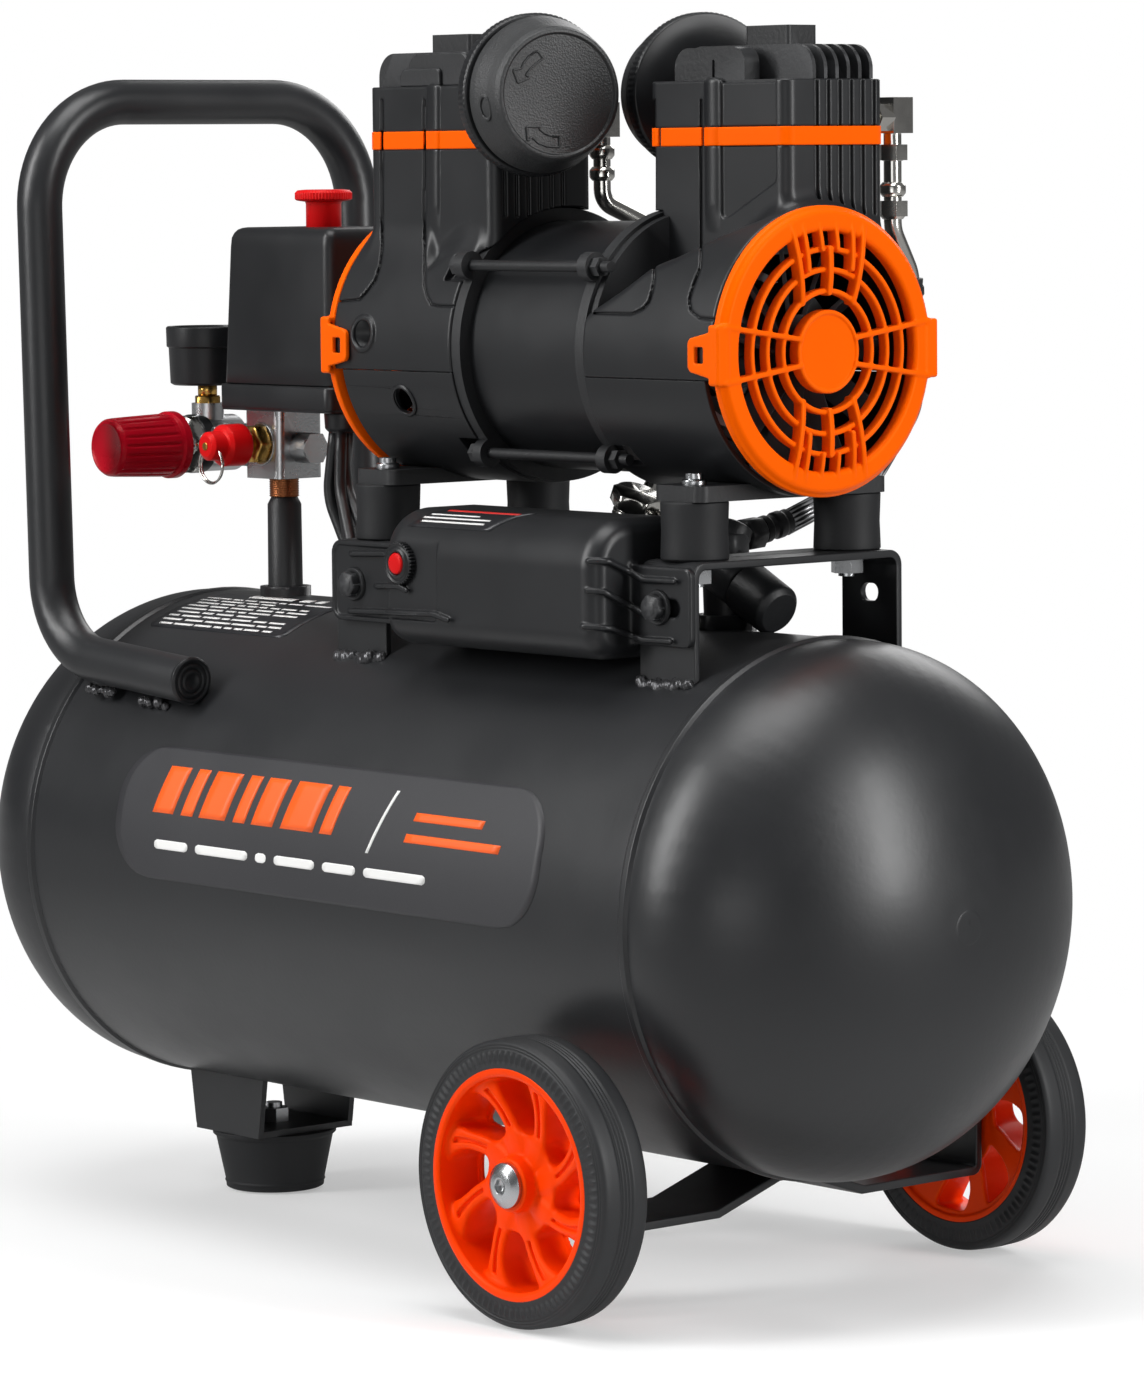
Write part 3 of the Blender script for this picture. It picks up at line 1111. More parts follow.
def f_cover(x, y, z, rear):
    d, X, Y, side = f_outer(x, y, z, rear)
    inner = d + 2.3
    u, v = px(x, y, z)
    if not rear:
        # ridge between the two panels of the near face
        rid = meet(np.abs(X - 162.8) - 3.4, slab(z, 470, 560), 0.5)
        near = (Y < 0)
        d = np.where(near, d - 1.3 * np.clip(1 - (np.abs(X - 162.8) / 4.6) ** 2, 0, 1) * np.clip((z - 474) / 12, 0, 1), d)
        # shallow recessed panel between the rib and the corner
        pan = meet(rect2(X, z, 168.6, 204.2, 480.0, 560.0, 3.0), np.maximum(487.0 + 0.5 * (X - 186.0) - z, -9.0), 2.0)
        pan = np.where(near, np.maximum(pan, -1.2 - d), 9.0)
        d = smax(d, -pan, 0.7)
        g1 = np.where(near, pline(u, v, G1), 99.0)
        g2 = np.where(near, pline(u, v, G2), 99.0)
        gg = np.minimum(g1, g2)
    else:
        near = (y < -20)
        d = np.where(near, d - 1.2 * np.clip(1 - (np.abs(u - 433.5) / 6.5) ** 2, 0, 1) * np.clip((z - 474) / 12, 0, 1), d)
        gg = np.where(near, np.minimum(pline(u, v, G3), pline(u, v, G4)), 99.0)
    G = np.maximum(gg * 0.74 - 0.78, -1.2 - d)
    d = smax(d, -G, 0.5)
    if not rear:
        # the same rib and grooves on the far face
        far = (Y > 30)
        gf = np.where(far, np.minimum(np.abs(X - 152.0), np.abs(X - 178.0)), 99.0) + np.clip(470 - z, 0, 50)
        d = smax(d, -np.maximum(gf - 0.65, -1.4 - d), 0.4)
    else:
        far = (Y < 0)
        gf = np.where(far, np.minimum(np.abs(X - 128.3), np.abs(X - 157.0)), 99.0) + np.clip(478 - z, 0, 50)
        d = smax(d, -np.maximum(gf - 0.65, -1.4 - d), 0.4)
    # cooling grooves down both end faces
    yy = (Y - 3.6 + 3.45) % 6.9 - 3.45
    inr = slab(Y, 0.5, 41.3)
    gv = np.maximum(np.abs(yy) - 1.05, inr)
    endf = np.maximum(gv, 481.0 - z)
    e1 = np.maximum(endf, np.abs(X - 211.0) - 1.6)
    e2 = np.maximum(endf, np.abs(X - 120.0) - 1.6)
    d = smax(d, -np.minimum(e1, e2), 0.4)
    # seat of the orange band
    d = np.maximum(d, -np.maximum(slab(z, 512.0, 520.4), -0.5 - d))
    d_out = d
    d = np.maximum(d, -inner)
    d = np.maximum(d, SPLIT + 0.2 - z)
    r = ln(Y, z - AX)
    d = np.maximum(d, -np.maximum(r - 63.5, X - 130.0))
    for (ty, tz) in ((55.0, 37.5), (-55.0, 37.5)):
        # pocket with its own walls round each tie bolt lug
        rl = ln(Y - ty, z - AX - tz)
        pocket = np.maximum(rl - 7.3, slab(X, 100, 143))
        wall = np.maximum(np.maximum(rl - 9.3, slab(X, 124.0, 145.2)), d_out)
        d = np.minimum(d, wall)
        d = np.maximum(d, -pocket)
        d = np.maximum(d, -np.maximum(r - 63.5, X - 130.0))
    d = np.maximum(d, -np.maximum(r - 61.7, 209.0 - X))
    # room for the connecting rod's ring at the top of its stroke
    d = np.maximum(d, -np.maximum(ln(Y, z - AX - 8.0) - 36.5, slab(X, 159.0, 167.0)))
    if rear:
        hole = ln(x + 25.0, z - 427.3)
        rimr = meet(np.abs(hole - 7.5) - 1.2, slab(inner, -0.5, 3.5), 0.5)
        rimr = np.where(y < 0, rimr, 9.0)
        d = smin(d, rimr, 0.5)
        d = np.where(y < 0, np.maximum(d, -(hole - 6.2)), d)
    return d


cV, cF = field_mesh(lambda x, y, z: f_cover(x, y, z, False), (119, -66, 409), (218, 66, 543), 0.7)
add("cover_front_moulding", cV, cF, "frame", M_PLASTIC, "black_plastic", ("head_cover_front",))
cV, cF = field_mesh(lambda x, y, z: f_cover(x, y, z, True), (-50, -66, 409), (49, 66, 543), 0.7)
add("cover_rear_moulding", cV, cF, "frame", M_PLASTIC, "black_plastic", ("head_cover_rear",))


def f_band(x, y, z, rear):
    d, X, Y, side = f_outer(x, y, z, rear)
    if not rear:
        d = np.where(Y < 0, d - 1.3 * np.clip(1 - (np.abs(X - 162.8) / 4.6) ** 2, 0, 1), d)
        g = np.minimum(np.abs(X - 128.3), np.abs(X - 157.0)) + np.where(Y < 0, 0.0, 99.0)
    else:
        u_ = px(x, y, z)[0]
        d = np.where(y < -20, d - 1.2 * np.clip(1 - (np.abs(u_ - 433.5) / 6.5) ** 2, 0, 1), d)
        g = np.minimum(np.abs(u_ - 425.0), np.abs(u_ - 382.5)) * 0.74 + np.where(y < -20, 0.0, 99.0)
    s = meet(d - 0.42, slab(z, 512.1, 520.3), 0.3)
    s = smax(s, -np.maximum(g - 0.8, -0.5 - d), 0.3)
    return np.maximum(s, -(d + 1.0))


for rear in (False, True):
    lo, hi = ((118, -17, 511), (213, 47, 521.5)) if not rear else ((-45, -47, 511), (50, 17, 521.5))
    bV, bF = field_mesh(lambda x, y, z: f_band(x, y, z, rear), lo, hi, 0.5)
    if not rear:
        add("band_front", bV, bF, "frame", M_ORANGE_B, "orange_plastic", ("trim_bands",))
    else:
        add("band_rear", bV, bF, "frame", M_ORANGE_B, "orange_plastic", ("trim_bands",))


# ============================================================ skins and lofts
def skin(mapf, x0f, x1f, s0, s1, h0, h1, ns=16, nx=24):
    """thin sheet between heights h0 and h1 over a surface: mapf(x, s, h) gives the point"""
    V, F = [], []
    for h in (h0, h1):
        for i in range(ns + 1):
            s = s0 + (s1 - s0) * i / ns
            a, b = x0f(s), x1f(s)
            for j in range(nx + 1):
                V.append(mapf(a + (b - a) * j / nx, s, h))
    m = (ns + 1) * (nx + 1)

    def q(k, i, j):
        return k * m + i * (nx + 1) + j
    for i in range(ns):
        for j in range(nx):
            F.append([q(1, i, j), q(1, i, j + 1), q(1, i + 1, j + 1), q(1, i + 1, j)])
            F.append([q(0, i, j), q(0, i + 1, j), q(0, i + 1, j + 1), q(0, i, j + 1)])
    for j in range(nx):
        F.append([q(0, 0, j), q(0, 0, j + 1), q(1, 0, j + 1), q(1, 0, j)])
        F.append([q(0, ns, j + 1), q(0, ns, j), q(1, ns, j), q(1, ns, j + 1)])
    for i in range(ns):
        F.append([q(0, i + 1, 0), q(0, i, 0), q(1, i, 0), q(1, i + 1, 0)])
        F.append([q(0, i, nx), q(0, i + 1, nx), q(1, i + 1, nx), q(1, i, nx)])
    V = np.array(V, float)
    # the outside has to face away from the surface
    f = F[0]
    n_ = np.cross(V[f[1]] - V[f[0]], V[f[2]] - V[f[0]])
    if n_ @ (V[q(1, 0, 0)] - V[q(0, 0, 0)]) < 0:
        F = [g[::-1] for g in F]
    return V, F


def tank_map(x, s, h):
    a = s / TANK_R
    return (x, -(TANK_R + h) * cos(a), TANK_Z + (TANK_R + h) * sin(a))


def rr_fn(x0, x1, s0, s1, r):
    def inset(s):
        e = min(s - s0, s1 - s)
        return 0.0 if e >= r else r - sqrt(max(0.0, r * r - (r - e) ** 2))
    return (lambda s: x0 + inset(s)), (lambda s: x1 - inset(s))


def slant(x0, x1, s0, k):
    return (lambda s: x0 + (s - s0) * k), (lambda s: x1 + (s - s0) * k)


def loft(rings):
    n = len(rings[0])
    V = np.concatenate([np.array(r, float) for r in rings])
    F = []
    for k in range(len(rings) - 1):
        for i in range(n):
            j = (i + 1) % n
            F.append([k * n + i, k * n + j, (k + 1) * n + j, (k + 1) * n + i])
    F.append(list(range(n))[::-1])
    F.append([(len(rings) - 1) * n + i for i in range(n)])
    c = V.mean(0)
    vol = 0.0
    for f in F:
        a = V[f[0]] - c
        for k in range(1, len(f) - 1):
            vol += np.dot(a, np.cross(V[f[k]] - c, V[f[k + 1]] - c))
    if vol < 0:
        F = [f[::-1] for f in F]
    return V, F


# ============================================================ receiver decals
a_, b_ = rr_fn(-150, 161, -5.5, 58.5, 27)
add("decal_panel", *skin(tank_map, a_, b_, -5.5, 58.5, -0.3, 0.18, 40, 60), "frame", M_DECAL, "black_coat")
bars = []
xs = -122.0
for wdt, gap in ((16, 6), (9, 5), (20, 6), (9, 5), (16, 6), (24, 5), (9, 0)):
    a_, b_ = slant(xs, xs + wdt, 26.0, 0.30)
    bars.append(skin(tank_map, a_, b_, 26.0, 49.0, 0.0, 0.30, 8, 4))
    xs += wdt + gap
for (xa, xb, s0, s1) in ((70, 118, 37.0, 41.0), (66, 132, 27.0, 31.0)):
    a_, b_ = slant(xa, xb, s0, 0.3)
    bars.append(skin(tank_map, a_, b_, s0, s1, 0.0, 0.30, 3, 12))
add("decal_bars", *join(*bars), "frame", M_DEC_OR, "black_coat")
wh = []
a_, b_ = slant(40.0, 42.0, 20.0, 0.45)
wh.append(skin(tank_map, a_, b_, 20.0, 50.0, 0.0, 0.30, 10, 1))
xs = -118.0
for wdt in (26, 40, 8, 30, 24, 44):
    a_, b_ = rr_fn(xs, xs + wdt, 9.0, 13.4, 2.1)
    wh.append(skin(tank_map, a_, b_, 9.0, 13.4, 0.0, 0.30, 6, 8))
    xs += wdt + 6.0
add("decal_lines", *join(*wh), "frame", M_DEC_WH, "black_coat")

s0p, s1p = radians(62.0) * TANK_R, radians(86.0) * TANK_R
a_, b_ = rr_fn(-206, -98, s0p, s1p, 3)
add("rating_plate", *skin(tank_map, a_, b_, s0p, s1p, -0.3, 0.22, 20, 20), "frame", M_PLATE, "black_coat")
rows = []
import random
rnd = random.Random(7)
k = 0
s = s0p + 3.0
while s < s1p - 12:
    x = -202.0 + (0 if k % 3 else 2)
    while x < -112:
        w_ = rnd.uniform(5, 20)
        xe = min(x + w_, -104)
        a_, b_ = (lambda t, v=x: v), (lambda t, v=xe: v)
        rows.append(skin(tank_map, a_, b_, s, s + 1.5, 0.0, 0.30, 1, 3))
        x = xe + rnd.uniform(1.5, 3.5)
        if k % 4 == 3 and x > -150:
            break
    s += 4.1
    k += 1
for (xa, xb) in ((-176, -142), (-136, -128), (-124, -118)):
    a_, b_ = (lambda t, v=xa: v), (lambda t, v=xb: v)
    rows.append(skin(tank_map, a_, b_, s1p - 8.5, s1p - 3.5, 0.0, 0.30, 2, 4))
add("rating_rows", *join(*rows), "frame", M_DEC_WH, "black_coat")

# ================================================================== filters
FAX = np.array((-0.957, 0.287, 0.0))
FAX /= np.linalg.norm(FAX)


def filter_set(tag, p0, d, body):
    p0 = np.array(p0, float)
    # flange with a finely ribbed rim
    fl = lathe([(-0.4, 12.0), (-0.4, 36.2, 0.8), (1.2, 37.0, 0.5), (6.6, 37.0, 0.5), (7.9, 36.0, 0.8), (7.9, 31.0, 0.5), (5.0, 30.0), (5.0, 12.0)],
               p0, d, 360, mod=lambda t, r, th: r - (0.32 * max(0.0, sin(th * 90)) if r > 36.5 else 0.0))
    add("filter_flange_" + tag, *fl, "frame", M_PLASTIC_S, "grey_plastic")
    cap = lathe([(8.3, 0.0), (8.3, 33.4), (9.6, 34.9, 0.9), (11.5, 35.4, 0.8), (15.0, 34.6, 2.0), (22.5, 32.0, 4.0), (28.0, 30.6, 1.0),
                 (30.9, 29.2, 1.2), (31.1, 27.6, 0.7), (30.0, 26.8, 0.4), (30.0, 0.0)], p0, d, 120, da=7)
    add("filter_cap_%s_moulding" % tag, *cap, body, M_CAP, "grey_plastic", ("filter_cap_" + tag,))
    return p0


filter_set("rear", (60, -32, 536), -FAX, "rear_filter_cap")
filter_set("front", (108, 32, 536), FAX, "front_filter_cap")

# arrows on the flat face and the inlet on the bevel, given in the view
FD = -FAX
face0 = np.array((60, -32, 536.0)) + FD * 30.1


def c22(X, Y):
    return (360 + X / 5.6, 20 + Y / 5.6)


def arrow(pts, name):
    q = [on_plane(*c22(*p), face0, FD) for p in pts]
    P4 = [(a[0], a[1], a[2], 0.6) for a in q]
    P4 = P4 + [P4[0], P4[1]]
    V, F, uv = tube([(p[0], p[1], p[2], 0.5) for p in P4], 0.55, 10, 0.5)
    return V, F


A1 = [(992, 172), (950, 198), (918, 238), (903, 272), (857, 280), (885, 352), (962, 318), (926, 311), (958, 268), (1027, 213)]
A2 = [(1118, 655), (1072, 650), (1030, 632), (1000, 606), (1018, 598), (932, 598), (938, 682), (962, 655), (1000, 690), (1050, 708), (1115, 712)]
add("cap_arrows_rear", *join(arrow(A1, "a"), arrow(A2, "b")), "rear_filter_cap", M_CAP, "grey_plastic")


def other_cap(V):
    """the same marks on the front cap: turned half a turn about the unit's middle"""
    return turn180(V)


V_, F_ = join(arrow(A1, "a"), arrow(A2, "b"))
add("cap_arrows_front", other_cap(V_), F_, "front_filter_cap", M_CAP, "grey_plastic")
pin = on_plane(485.5, 107.5, np.array((60, -32, 536.0)) + FD * 20.5, FD)
rad_ = pin - (np.array((60, -32, 536.0)) + FD * 20.5)
rad_ /= np.linalg.norm(rad_)
nb_ = rad_ * 0.93 + FD * 0.36
nb_ /= np.linalg.norm(nb_)
pc = np.array((60, -32, 536.0)) + FD * 20.5 + rad_ * 31.3
d_, u_, w_ = basis(nb_)
Vr, Fr = lathe([(0.0, 3.0), (0.0, 4.5, 0.2), (1.9, 4.3, 0.6), (1.9, 3.1, 0.4), (0.6, 2.9)], (0, 0, 0), (0, 0, 1), 40)
tang = np.cross(nb_, FD)
tang /= np.linalg.norm(tang)
axl = np.cross(tang, nb_)
W = np.outer(Vr[:, 0] * 0.85, axl) + np.outer(Vr[:, 1] * 1.45, tang) + np.outer(Vr[:, 2], nb_) + pc
add("cap_inlet_rear", W, Fr, "rear_filter_cap", M_CAP, "grey_plastic")
Vr2, Fr2 = lathe([(0.3, 0.0), (0.3, 3.05), (0.9, 3.05), (0.9, 0.0)], (0, 0, 0), (0, 0, 1), 30)
W2 = np.outer(Vr2[:, 0] * 0.85, axl) + np.outer(Vr2[:, 1] * 1.45, tang) + np.outer(Vr2[:, 2], nb_) + pc
M_DARK = mat("dark_inside", srgb(8, 8, 9), 0.8, grain=800, bump=0.1, var=0.05, spec=0.1)
add("cap_inlet_hole_rear", W2, Fr2, "rear_filter_cap", M_DARK, "grey_plastic")
add("cap_inlet_front", turn180(W), Fr, "front_filter_cap", M_CAP, "grey_plastic")
add("cap_inlet_hole_front", turn180(W2), Fr2, "front_filter_cap", M_DARK, "grey_plastic")


# ============================================================ capacitor box
def c05(X, Y):
    return (311 + X / 3.785, 437.5 + Y / 3.785)


RR = [[c05(*p) for p in q] for q in ([(1050, 468), (1130, 470), (1190, 500), (1255, 538), (1372, 545)],
                                      [(1045, 580), (1112, 585), (1180, 622), (1262, 668)],
                                      [(1030, 715), (1140, 724), (1250, 765), (1358, 772)],
                                      [(155, 440), (300, 440), (345, 462)],
                                      [(250, 563), (330, 563), (358, 578)],
                                      [(148, 656), (460, 668), (515, 690)])]


def f_cbox(x, y, z):
    c = np.where(z > 322, 22.0, 13.0)
    ry = np.maximum(-(y + 88.0 - c), 0)
    a = np.abs(z - 318.0) - 31.0 + c
    rz = np.maximum(a, 0)
    nearcorner = ln(ry, rz) - c
    flat = np.maximum(-88.0 - y, np.abs(z - 318.0) - 31.0)
    sec = np.where((ry > 0) & (rz > 0), nearcorner, flat)
    sec = np.maximum(sec, y + 41.0)
    end = np.clip((x - 155.0) / 10.0, 0, 1)
    sec = sec + 5.0 * end ** 2
    lend = np.clip((27.0 - x) / 10.0, 0, 1)
    sec = sec + 3.0 * lend ** 2
    d = meet(sec, slab(x, 17.0, 164.5), 2.5)
    # shallow step round the reset dial
    st = meet(rect2(x, z, 8, 55.5, 299, 346, 3.0), -86.9 + 0.0 * x - y - 0.0, 0.3)
    d = smax(d, -np.maximum(rect2(x, z, 8, 55.5, 299, 372, 3.0), y + 86.8), 0.9)
    f1 = meet(rect2(x, z, -46, 30, 294, 331, 5.0), slab(y, -66.6, -63.1), 0.7)
    f2 = meet(rect2(x, z, 150, 203.5, 294, 329, 4.0), slab(y, -66.6, -63.1), 0.7)
    d = smin(d, np.minimum(f1, f2), 2.6)
    # rolled edge of the flanges
    e1 = meet(np.abs(rect2(x, z, -45, 30, 295, 330, 5.0)) - 1.1, slab(y, -67.6, -63.1), 0.5)
    e1 = np.where(x < 17, e1, 9.0)
    d = smin(d, e1, 0.8)
    u, v = px(x, y, z)
    near = y < -60.0
    for i, q in enumerate(RR):
        dd = pline(u, v, q) * 0.7 - 1.75
        hgt = 2.8
        d = np.where(near, smin(d, meet(dd, d - hgt, 0.9), 0.8), d)
    # slots behind the bolts
    sl = np.minimum(seg2(x, z, (-36.0, 311.0), (-27.0, 311.0), 3.9), seg2(x, z, (183.0, 311.0), (192.5, 311.0), 3.9))
    d = smax(d, -sl, 0.4)
    d = np.maximum(d, -(ln(x - 30.0, z - 324.5) - 5.3) - np.where(y < -70, 0.0, 99.0))
    return d


bV, bF = field_mesh(f_cbox, (-48, -90, 285), (206, -39, 351), 0.75)
add("capacitor_box_moulding", bV, bF, "frame", M_PLASTIC, "black_plastic", ("capacitor_cover",))
dl = lathe([(0.0, 5.4), (0.0, 9.6, 0.3), (1.0, 9.9, 0.3), (3.8, 9.9, 0.4), (4.4, 9.0, 0.3), (3.4, 7.8), (4.8, 7.0, 0.3), (5.2, 6.2, 0.3), (5.2, 5.4)],
           (30.0, -85.6, 324.5), (0, -1, 0), 288, mod=lambda t, r, th: r - (0.95 * (0.5 + 0.5 * sin(th * 36)) ** 1.5 if r > 9.3 else 0.0))
add("reset_dial", *dl, "frame", M_PLASTIC_S, "black_plastic")
add("reset_button_cap", *lathe([(0.0, 0.0), (0.0, 4.9), (8.6, 4.9), (9.3, 4.4, 0.3), (9.6, 3.0), (9.6, 0.0)], (30.0, -82.0, 324.5), (0, -1, 0), 48),
    "reset", M_RED, "red_plastic", ("reset_button",))


def cap_map(x, s, h):
    a = s / 22.0
    return (x, -66.0 - (22.0 + h) * cos(a), 327.0 + (22.0 + h) * sin(a))


lb0, lb1 = radians(40) * 22, radians(84) * 22
a_, b_ = slant(30.0, 88.0, lb0, 0.9)
add("box_label", *skin(cap_map, a_, b_, lb0, lb1, -0.1, 0.25, 14, 10), "frame", M_PLATE, "black_plastic")
lab = []
for i, (xa, xb) in enumerate(((34, 78), (33, 80), (36, 70))):
    s_ = lb0 + 3.0 + i * 2.6
    a_, b_ = (lambda t, v=xa: v + 3), (lambda t, v=xb: v + 3)
    lab.append(skin(cap_map, a_, b_, s_, s_ + 1.0, 0.1, 0.36, 2, 10))
add("box_label_lines", *join(*lab), "frame", M_DEC_WH, "black_plastic")
a_, b_ = (lambda t: 46.0), (lambda t: 96.0)
add("box_label_stripe", *skin(cap_map, a_, b_, lb1 - 4.5, lb1 - 2.6, 0.1, 0.36, 2, 12), "frame", M_DEC_RD, "black_plastic")


# ========================================================== pressure switch
def switch_ring(x0, x1, y, z, r):
    return [(u, v, z) for u, v in rpts([(x0, -y, r), (x1, -y, r), (x1, y, r), (x0, y, r)], 10)]


rings = []
for (z, ins, drop) in ((399.7, 0.6, 0), (400.4, 0, 0), (410, 0, 0), (430, 0, 0), (450, 0, 0), (466, 0, 0), (470.5, 0.25, 0), (472.8, 1.2, 0), (474.4, 2.6, 0),
                       (475.2, 4.4, 0), (475.5, 6.4, 0)):
    tp = (z - 400.0) / 75.0
    rings.append(switch_ring(-180.2 + 4.6 * tp + ins, -95.4 - 0.8 * tp - ins, 28.2 - 1.2 * tp - ins, z, max(1.2, 5.2 - ins * 0.5)))
add("switch_cover_shell", *loft(rings), "frame", M_PLASTIC_S, "grey_plastic", ("switch_cover",))
rings = [switch_ring(-182.4 + i, -95.2 - i, 29.0 - i, z, 4.5) for (z, i) in ((387.2, 1.2), (387.8, 0.3), (389.0, 0.0), (398.2, 0.0), (399.0, 0.3), (399.4, 1.2))]
add("switch_base_rim", *loft(rings), "frame", M_PLASTIC_S, "grey_plastic")
kb = lathe([(0.0, 0.0), (0.0, 8.6), (34.4, 8.6), (35.6, 8.9, 0.4), (36.2, 12.9, 0.5), (36.9, 13.9, 0.5), (39.9, 13.9, 0.5), (41.2, 12.6, 0.8), (41.5, 9.0), (41.0, 5.0), (41.0, 0.0)],
           (-134.0, 0, 452.0), (0, 0, 1), 288, mod=lambda t, r, th: r - (0.42 * (0.5 + 0.5 * sin(th * 56)) if r > 13.0 else 0.0))
add("switch_knob_moulding", *kb, "pressure_switch_knob", M_RED, "red_plastic", ("switch_knob",))
add("switch_gland", *lathe([(0, 0), (0, 9.2, 1.2), (1.4, 9.4, 0.6), (8.0, 9.0, 1.0), (9.6, 7.6, 0.6), (9.6, 0)], (-108, -10, 387.2), (0, 0, -1), 48),
    "frame", M_PLASTIC_S, "grey_plastic")

# ======================================================= regulator and gauge
rk = lathe([(0.0, 0.0), (0.0, 15.6), (0.6, 16.6, 0.4), (4.6, 16.6, 0.5), (5.6, 15.2, 0.4), (7.0, 15.3), (9.0, 15.6), (20.0, 15.2), (30.0, 14.8), (36.5, 14.5),
            (39.6, 14.2, 0.9), (41.4, 13.0, 0.8), (41.7, 11.8, 0.3), (41.2, 10.8), (41.2, 0.0)], (REGX, -21.0, REGZ), (0, -1, 0), 240,
           mod=lambda t, r, th: r - (0.95 * max(0.0, sin(th * 20)) ** 2 * min(1.0, max(0.0, (t - 7.2) / 2.0)) * min(1.0, max(0.0, (38.6 - t) / 1.5)) if 7.5 < t < 39 and r > 13.5 else 0.0))
add("regulator_knob_moulding", *rk, "regulator_dial", M_CRIM, "crimson_plastic", ("regulator_knob",))
add("regulator_nut", *hexm((REGX, -20.6, REGZ), (0, 1, 0), 27.8, 8.9, 0, 1.2), "frame", M_NICKEL, "zinc")
add("regulator_ring", *lathe([(0, 10), (0, 14.6, 0.6), (6.5, 14.6, 0.6), (6.5, 10)], (REGX, -11.6, REGZ), (0, 1, 0), 64), "frame", M_PLASTIC_S, "grey_plastic")
gc = lathe([(0.0, 0.0), (0.0, 16.5, 0.8), (1.0, 18.3, 0.6), (18.6, 19.0, 0.2), (19.2, 20.0, 0.4), (28.6, 20.2, 0.6), (29.2, 19.4, 0.4), (29.2, 18.3, 0.3), (27.0, 17.8, 0.2),
            (18.2, 17.8), (18.2, 0.0)], (REGX, 0, 397.0), (0, 0, 1), 96)
add("gauge_body", *gc, "frame", M_PLASTIC_S, "grey_plastic", ("gauge_case",))
add("gauge_dial", *lathe([(0, 0), (0, 17.7), (0.6, 17.7), (0.6, 0)], (REGX, 0, 415.2), (0, 0, 1), 64, closed=False), "frame", M_DIAL, "grey_plastic")
tk = []
for i in range(41):
    a = radians(-135 + 270 * i / 40.0)
    r0_, r1_ = (13.2, 16.4) if i % 10 == 0 else ((14.2, 16.4) if i % 5 == 0 else (15.2, 16.4))
    wd_ = 0.35 if i % 10 == 0 else 0.18
    ux, uy = sin(a), -cos(a)
    vx, vy = uy, -ux
    pts = [(REGX + ux * r0_ + vx * wd_, uy * r0_ + vy * wd_), (REGX + ux * r1_ + vx * wd_, uy * r1_ + vy * wd_),
           (REGX + ux * r1_ - vx * wd_, uy * r1_ - vy * wd_), (REGX + ux * r0_ - vx * wd_, uy * r0_ - vy * wd_)]
    tk.append(prism(pts, "xy", 415.7, 415.95))
add("gauge_ticks", *join(*tk), "frame", M_PLASTIC_S, "grey_plastic")
add("gauge_pivot", *lathe([(0, 0), (0, 0.8), (2.6, 0.8), (2.6, 0)], (REGX, 0, 415.7), (0, 0, 1), 24, closed=False), "frame", M_BRASS, "brass")
add("gauge_window", *lathe([(0, 0), (0, 17.7), (1.2, 17.7), (1.5, 0)], (REGX, 0, 423.2), (0, 0, 1), 64, closed=False), "frame", M_GLASS, "grey_plastic")
st = join(cylm((REGX, 0, 379.0), (0, 0, 1), 5.6, 5, 32, 0.5), hexm((REGX, 0, 384.0), (0, 0, 1), 12.0, 7.6, 0, 0.7),
          cylm((REGX, 0, 391.6), (0, 0, 1), 4.8, 5.8, 32, 0.4))
add("gauge_stem", *st, "frame", M_BRASS, "brass")

# ============================================================== safety valve
add("relief_cap", *lathe([(0.0, 0.0), (0.0, 9.9, 0.6), (1.0, 10.3, 0.5), (11.5, 10.2, 0.9), (13.2, 8.6, 0.5), (13.6, 7.3, 0.3), (20.6, 7.0, 1.0), (22.0, 5.0, 0.5), (22.0, 0.0)],
                         (RISX, -26.0, 370.0), (0, -1, 0), 96), "relief_pull", M_RED, "red_plastic", ("safety_pull",))
rg = []
for k in range(2):
    V, F, uv = tube([(RISX + (9.2 - k * 0.5) * cos(t), -44.9 + k * 0.9, 361.0 + (9.2 - k * 0.5) * sin(t), 0) for t in [2 * pi * i / 48 for i in range(49)]], 0.55, 10, 5)
    rg.append((V, F))
add("relief_ring", *join(*rg), "relief_pull", M_NICKEL, "zinc")
add("relief_pin", *lathe([(0, 0), (0, 1.9, 0.3), (1.2, 2.0, 0.2), (1.6, 1.1), (5.5, 1.1), (5.5, 0)], (RISX, -48.6, 370.0), (0, 1, 0), 24), "relief_pull", M_BRASS, "brass")
add("relief_hex", *hexm((RISX, -21.6, 370.0), (0, 1, 0), 17.6, 7.4, 0, 1.0), "frame", M_BRASS, "brass")
add("relief_washer", *lathe([(0, 8.8), (0, 10.6, 0.4), (1.6, 10.6, 0.4), (1.6, 8.8)], (RISX, -14.6, 370.0), (0, 1, 0), 48), "frame", M_ZINC, "zinc")

# ===================================================================== riser
rp = lathe([(284.0, 5.0), (284.0, 8.6, 0.3), (340.0, 8.3), (343.6, 6.4, 0.3), (344.0, 5.0)], (RISX, 0, 0), (0, 0, 1), 64, closed=True)
add("riser_tube", *rp, "frame", M_CASEBLK, "black_steel", ("riser_pipe",))
thr = [(343.6, 5.0)]
z = 343.6
while z < 353.0:
    thr += [(z, 6.9), (z + 0.55, 7.4), (z + 1.1, 6.9)]
    z += 1.12
thr += [(353.4, 6.9), (353.4, 5.0)]
add("riser_thread", *lathe(thr, (RISX, 0, 0), (0, 0, 1), 48), "frame", mat("thread_copper", srgb(150, 92, 58), 0.4, 1.0, grain=500, bump=0.2, var=0.15), "brass")
add("riser_boss", *lathe([(284.0, 8.4), (284.0, 13.6, 0.3), (294.2, 13.2, 1.6), (296.0, 11.5, 0.6), (296.0, 8.4)], (RISX, 0, 0), (0, 0, 1), 64), "frame", M_POWDER, "black_coat")

